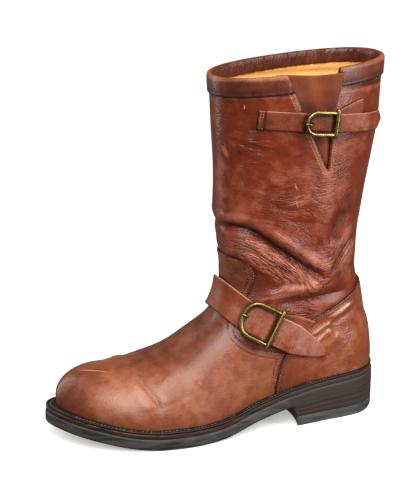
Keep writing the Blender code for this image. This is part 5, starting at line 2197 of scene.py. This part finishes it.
@dataclass
class Buckle:
    """D-shaped buckle over a strap: bent frame, straight roller and the tip of its prong."""

    prefix: str
    line: StrapLine
    bar: float
    length: float
    half_height: float
    raised: float
    wire: float = 1.9
    roller: float = 2.1
    roller_past: float = 0.6
    prong: float = 1.05
    arm_steps: int = 7
    bend_steps: int = 41
    roller_steps: int = 9
    frame_sides: int = 20
    roller_sides: int = 24
    prong_sides: int = 14
    past_roller: float = 6.0
    # Painted shadow of the buckle on the strap: how dark and how wide
    dirt: float = 0.5
    dirt_width: float = 1.6

    def shade(self, along: Points, across: Points) -> Points:
        """Paint shadow on the strap beside the frame's bend and the roller.

        Args:
            along: Places along the strap.
            across: Places across it.

        Returns:
            How much darker it is at each.
        """
        reach = self.half_height - self.wire
        centre = self.bar + self.length - reach - self.wire
        bend = np.hypot(np.maximum(along - centre, 0), across - self.raised) - reach
        roller = np.abs(along - self.bar) - self.roller
        beside = np.where(along > self.bar + self.past_roller, np.abs(bend) - self.wire, roller)
        return self.dirt * bell(np.maximum(beside, 0) / self.dirt_width)

    def build(self, over: float, brass: Material) -> None:
        """Make the buckle's three pieces.

        Args:
            over: Height of the strap's face over the last.
            brass: Their finish.
        """
        line, wire, gap = self.line, self.wire, GAUGE.gap
        lift = over + gap + wire
        middle = self.bar + self.length / 2
        up = unit(line.point(middle, self.raised, lift + wire)[0] - line.point(middle, self.raised, lift)[0])
        reach = self.half_height - wire
        straight = self.length - reach - wire
        turns = np.radians(np.linspace(-90, 90, self.bend_steps))
        arm = np.linspace(self.bar + self.roller + gap, self.bar + straight, self.arm_steps + 1)[:-1]
        stations = np.concatenate([arm, self.bar + straight + reach * np.cos(turns), arm[::-1]])
        drifts = np.concatenate([np.full_like(arm, -reach), reach * np.sin(turns), np.full_like(arm, reach)])
        frame = line.point(stations, drifts + self.raised, lift)
        pieces = {"frame": tube(frame, wire, up, self.frame_sides)}
        shares = np.linspace(-1, 1, self.roller_steps)
        across = self.raised + (self.half_height + self.roller_past) * shares
        under = line.point(self.bar, across, over + gap + self.roller)
        centre = (under[0] + under[-1]) / 2
        roller = centre + (under[-1] - centre) * shares[:, None]
        roller = roller + up * np.max((under - roller) @ up)
        pieces["roller"] = tube(roller, self.roller, up, self.roller_sides)
        low, high = over + gap + self.prong, over + 3 * gap + 2 * wire + self.prong
        steps = spline(((-9.0, low - 1.6), (-6.8, low + 0.6), (-4.6, high), (0.4, high)), 6, closed=False)
        prong = line.point(self.bar + self.length + steps[:, 0], self.raised, steps[:, 1])
        pieces["prong"] = tube(prong, self.prong, up, self.prong_sides)
        for name, solid in pieces.items():
            piece = make_piece(f"brass_{self.prefix}_{name}", solid, brass, sharp=60)
            stand_for(f"{self.prefix}_buckle_{name}")


@dataclass
class Chape:
    """Short strap under a main strap that holds the buckle, turned up at its sewn end."""

    name: str
    line: StrapLine
    start: float
    end: float
    half_width: float
    skew: float
    skew_over: float = 40.0
    stitch_in: float = 2.0
    stitch_start: float = 12.0
    steps: int = 40

    def shift(self, stations: Points) -> Points:
        """Sideways shift along the chape."""
        return self.skew * smoothstep((self.end - stations) / self.skew_over)

    def build(self, seat: float, finishes: Finishes, sewing: Stitching) -> None:
        """Make the chape and the stitches round its sewn end.

        Args:
            seat: Height of its underside over the last.
            finishes: The boot's finishes.
            sewing: Stitching that its rows join.
        """
        stations = np.linspace(self.start, self.end, self.steps)
        even = np.ones(len(stations))

        def tone(along: Points, across: Points) -> Points:
            """Darker leather toward the buckle."""
            return -0.1 - 0.2 * smoothstep((along - self.start - 14) / 20)

        solid = self.line.strip(
            stations, self.half_width * even, seat * even, GAUGE.chape, self.shift(stations), tone, 0.1 * even
        )
        piece = make_piece("leather_" + self.name, solid, finishes.strap, edge=finishes.dark_edge)
        stand_for(self.name)
        reach, last = self.half_width - self.stitch_in, self.start + self.stitch_in
        along = np.linspace(self.end - self.stitch_start, last, 14)
        loop = [(s, reach) for s in along] + [(last, d) for d in np.linspace(reach, -reach, 10)[1:]]
        loop += [(s, -reach) for s in along[::-1][1:]]
        station, drift = np.array(loop).T
        self.line.sew(sewing, station, drift + self.shift(station), seat + GAUGE.chape)


def over_chape(stations: Points, seat: float, passed: float, tail_end: float, bar: float) -> Points:
    """Lift a strap where it passes over its chape.

    Args:
        stations: Places along the strap.
        seat: Height of its underside over the last where it lies on the upper.
        passed: Height where it lies on the chape.
        tail_end: Place where it starts to rise.
        bar: Place of the buckle's bar.

    Returns:
        Height of the underside at each place.
    """
    tail = smoothstep((stations - tail_end) / CHAPE_RISE)
    past_bar = smoothstep((stations - bar - CHAPE_RISE) / CHAPE_RISE)
    return seat + (passed - seat) * tail * (1 - past_bar)


@dataclass
class InstepFastening:
    """Strap over the instep, its chape on the outer side and its buckle."""

    last: BootLast
    finishes: Finishes
    half_width: float = 13.2
    tip: float = 48.0
    tip_length: float = 37.0
    inner_run: float = 64.0
    front_rise: float = 4.5
    bridge: float = 1.2
    bar: float = 109.0
    tip_cut: float = 0.25
    tip_round: float = 0.6
    outer_steps: int = 90
    stitch_in: float = 1.5
    stitch_rows: tuple[float, float] = (2.0, 5.0)

    def build(self, sewing: Stitching) -> None:
        """Make the strap, the chape and the buckle.

        Args:
            sewing: Stitching that their rows join.
        """
        line = StrapLine(self.last, tilt=29.7, height=44.5, spine_front=134.0, spine_back=40.0)
        bar = self.bar
        seat = GAUGE.gap + GAUGE.overlay + GAUGE.strap_gap
        passed = seat + GAUGE.chape + GAUGE.gap
        first = self.tip + self.tip_cut
        outer = first + (line.spine_front - first) * np.linspace(0, 1, self.outer_steps) ** 1.5
        front = line.spine_front + np.linspace(0, 180, 81)[1:]
        inner = front[-1] + np.linspace(0, self.inner_run, 33)[1:]
        stations = np.concatenate([outer, front, inner])
        width = self.half_width * np.clip((stations - self.tip) / self.tip_length, 0, 1) ** self.tip_round
        turned = np.sin(np.radians(np.clip(stations - line.spine_front, 0, 180)))
        base = over_chape(stations, seat, passed, self.tip, bar) + self.bridge * turned
        tail = 1 - smoothstep((stations - bar + 4) / 6)
        held = smoothstep((stations - bar) / 4) * (1 - smoothstep((stations - bar - 28) / 6))
        fold = 0.05 + 0.08 * tail + 0.1 * held
        buckle = Buckle("instep", line, bar, length=34.5, half_height=17.0, raised=0.5)

        def tone(along: Points, across: Points) -> Points:
            """Paler tail with nicks, paler where the buckle holds it, and painted shadow beside the buckle."""
            nicks = 0.25 * tail * bell((across + 10) / 4) * np.sin(along * 1.7) ** 2
            return 0.2 * tail + 0.1 * held - buckle.shade(along, across) - nicks

        solid = line.strip(stations, width, base, GAUGE.strap, self.front_rise * turned, tone, fold)
        piece = make_piece("leather_instep_strap", solid, self.finishes.strap, edge=self.finishes.raw_edge)
        stand_for("instep_strap")
        reach = self.half_width - self.stitch_in
        for back in self.stitch_rows:
            line.sew(sewing, stations[-1] - back, np.linspace(-reach, reach, 14), base[-1] + GAUGE.strap)
        chape = Chape("instep_chape", line, start=74.0, end=120.0, half_width=14.0, skew=7.0)
        chape.build(seat, self.finishes, sewing)
        buckle.build(passed + GAUGE.strap + self.bridge / 2, self.finishes.brass)


@dataclass
class TopFastening:
    """Short strap across the opening near the collar, its chape and its buckle."""

    last: BootLast
    finishes: Finishes
    half_width: float = 8.2
    tip: float = -37.0
    tip_length: float = 17.0
    tip_cut: float = 0.4
    tail_end: float = -8.0
    sewn_end: float = 114.0
    bar: float = 45.5
    stitch_in: float = 0.8
    stitch_raised: float = 0.2
    stitch_rows: tuple[float, float] = (1.3, 3.7)

    def build(self, sewing: Stitching) -> None:
        """Make the strap, the chape and the buckle.

        Args:
            sewing: Stitching that their rows join.
        """
        line = StrapLine(self.last, tilt=5.7, height=269.8, spine_front=118.0, spine_back=10.0)
        bar = self.bar
        seat = GAUGE.seat_gap + GAUGE.gap
        passed = seat + GAUGE.chape + GAUGE.gap
        tip = self.tip + self.tip_cut + (self.tip_length - self.tip_cut) * np.linspace(0, 1, 24)
        stations = np.concatenate([tip, np.linspace(tip[-1], self.sewn_end, 170)[1:]])
        width = self.half_width * np.clip((stations - self.tip) / self.tip_length, 0, 1)
        base = over_chape(stations, seat, passed, self.tail_end, bar)
        buckle = Buckle("top", line, bar, length=30.0, half_height=11.5, raised=0.0)

        def tone(along: Points, across: Points) -> Points:
            """Paler tail, a dark line across the sewn end, and painted shadow beside the buckle."""
            tail = 0.14 * (1 - smoothstep((along - bar + 4) / 6))
            return tail - 0.08 - 0.6 * bell((along - self.sewn_end + 5.4) / 0.8) - buckle.shade(along, across)

        still = np.zeros(len(stations))
        solid = line.strip(stations, width, base, GAUGE.strap, still, tone, still + 0.12)
        piece = make_piece("leather_top_strap", solid, self.finishes.strap, edge=self.finishes.dark_edge)
        stand_for("top_strap")
        chape = Chape("top_chape", line, start=18.0, end=54.0, half_width=8.6, skew=12.0)
        chape.build(seat, self.finishes, sewing)
        buckle.build(passed + GAUGE.strap, self.finishes.brass)
        reach = self.half_width - self.stitch_in
        for back in self.stitch_rows:
            drift = np.linspace(-reach, reach, 14)
            line.sew(sewing, self.sewn_end - back, drift, seat + GAUGE.strap, self.stitch_raised)


# Stage


def looking(place: Sequence[float], way: Points) -> Matrix:
    """Stand a light or the camera upright at a place.

    Args:
        place: Where it stands, in metres.
        way: Direction that it looks in.

    Returns:
        Its matrix.
    """
    right = unit(np.cross(way, UP))
    matrix = Matrix(np.column_stack([right, np.cross(right, way), -way]).tolist()).to_4x4()
    matrix.translation = place
    return matrix


@dataclass
class Studio:
    """Pale floor, soft light and the camera, as in the photograph."""

    floor_half: float = 12.0
    camera_place: tuple[float, float, float] = (0.7686, 1.6752, 0.6923)
    camera_turn: float = 21.003
    camera_down: float = 16.54
    lens: float = 154.97
    sensor: float = 36.0
    key_turn: float = 22.0
    key_down: float = 40.0
    key_power: float = 2.9
    key_spread: float = 38.0
    room_light: float = 0.18
    warm: tuple[float, float, float, float] = (1.0, 0.96, 0.9, 1.0)
    floor_glow: float = 0.4
    floor_z: float = -0.0004

    def floor(self) -> None:
        """Wide plain floor."""
        half = self.floor_half
        mesh = bpy.data.meshes.new("floor")
        corners = [(x * half, y * half, self.floor_z) for x, y in ((-1, -1), (1, -1), (1, 1), (-1, 1))]
        mesh.from_pydata(corners, [], [(0, 1, 2, 3)])
        # White paper, lit a little from within: an even pale ground with a soft shadow
        material, tree, shader = new_material("pale_floor")
        fill_inputs(tree, shader, {
            "Base Color": linear("#F4F4F4"), "Roughness": 0.9, "Specular IOR Level": 0.1,
            "Emission Color": linear("#FFFFFF"), "Emission Strength": self.floor_glow,
        })
        mesh.materials.append(material)
        floor = bpy.data.objects.new("floor", mesh)
        floor.visible_diffuse = False
        floor.visible_glossy = False
        bpy.context.scene.collection.objects.link(floor)

    @staticmethod
    def area(
        name: str, place: Sequence[float], target: Sequence[float], size: tuple[float, float], power: float
    ) -> None:
        """Soft rectangular light that faces a point.

        Args:
            name: The light's name.
            place: Where it stands, in metres.
            target: Point it faces, in metres.
            size: Width and height in metres.
            power: Watts.
        """
        lamp = bpy.data.lights.new(name, "AREA")
        lamp.shape = "RECTANGLE"
        lamp.size, lamp.size_y = size
        lamp.energy = power
        light = bpy.data.objects.new(name, lamp)
        light.matrix_world = looking(place, unit(np.subtract(target, place)))
        bpy.context.scene.collection.objects.link(light)

    def lights(self) -> None:
        """Even light from the room, a wide soft light overhead and a tall one on each side."""
        world = bpy.data.worlds.new("studio")
        bpy.context.scene.world = world
        world.use_nodes = True
        tree = world.node_tree
        fill_inputs(tree, tree.nodes["Background"], {"Color": self.warm, "Strength": self.room_light})
        sun = bpy.data.lights.new("wide_key", "SUN")
        sun.energy = self.key_power
        sun.color = self.warm[:3]
        sun.angle = math.radians(self.key_spread)
        key = bpy.data.objects.new("wide_key", sun)
        key.rotation_euler = (math.radians(self.key_down - 90), 0, math.radians(-self.key_turn))
        bpy.context.scene.collection.objects.link(key)
        self.area("top_softbox", (-0.1, 0.45, 1.15), (0.12, 0, 0.1), (0.6, 0.4), 7)
        self.area("heel_side_strip", (-0.62, 0.72, 0.45), (0.0, 0, 0.18), (0.2, 1.0), 8)
        self.area("toe_side_strip", (0.8, -0.5, 0.45), (0.1, 0, 0.18), (0.2, 0.9), 4)

    def camera(self) -> None:
        """Camera at the photograph's angle."""
        data = bpy.data.cameras.new("camera")
        data.lens = self.lens
        data.sensor_width = self.sensor
        camera = bpy.data.objects.new("camera", data)
        turn, down = math.radians(self.camera_turn), math.radians(self.camera_down)
        look = np.array([-math.sin(turn) * math.cos(down), -math.cos(turn) * math.cos(down), -math.sin(down)])
        camera.matrix_world = looking(self.camera_place, look)
        bpy.context.scene.collection.objects.link(camera)
        bpy.context.scene.camera = camera

    def build(self) -> None:
        """Set up the whole stage."""
        self.floor()
        self.lights()
        self.camera()
        bpy.context.scene.view_settings.view_transform = "Standard"


def clear_scene() -> None:
    """Remove what Blender starts with."""
    for thing in list(bpy.data.objects):
        bpy.data.objects.remove(thing, do_unlink=True)


def main() -> None:
    """Build the boot round its frame, the stage and the camera."""
    logging.basicConfig(level=logging.INFO, format="%(name)s %(message)s")
    clear_scene()
    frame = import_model()
    finishes = Finishes(Palette())
    shape = SoleShape()
    last = BootLast(shape)
    SoleUnit(shape, finishes).build()
    LeatherUpper(last, finishes).build()
    sewing = Stitching("strap_stitches", StitchSize(2.4, 1.8, 0.75, 0.5), finishes.dark_seam)
    InstepFastening(last, finishes).build(sewing)
    TopFastening(last, finishes).build(sewing)
    sewing.build()
    insole = frame["nodes"]["insole"]
    insole.data.materials.clear()
    insole.data.materials.append(finishes.lining)
    LOG.info("insole: lining leather")
    Studio().build()
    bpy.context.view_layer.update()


if __name__ == "__main__":
    main()
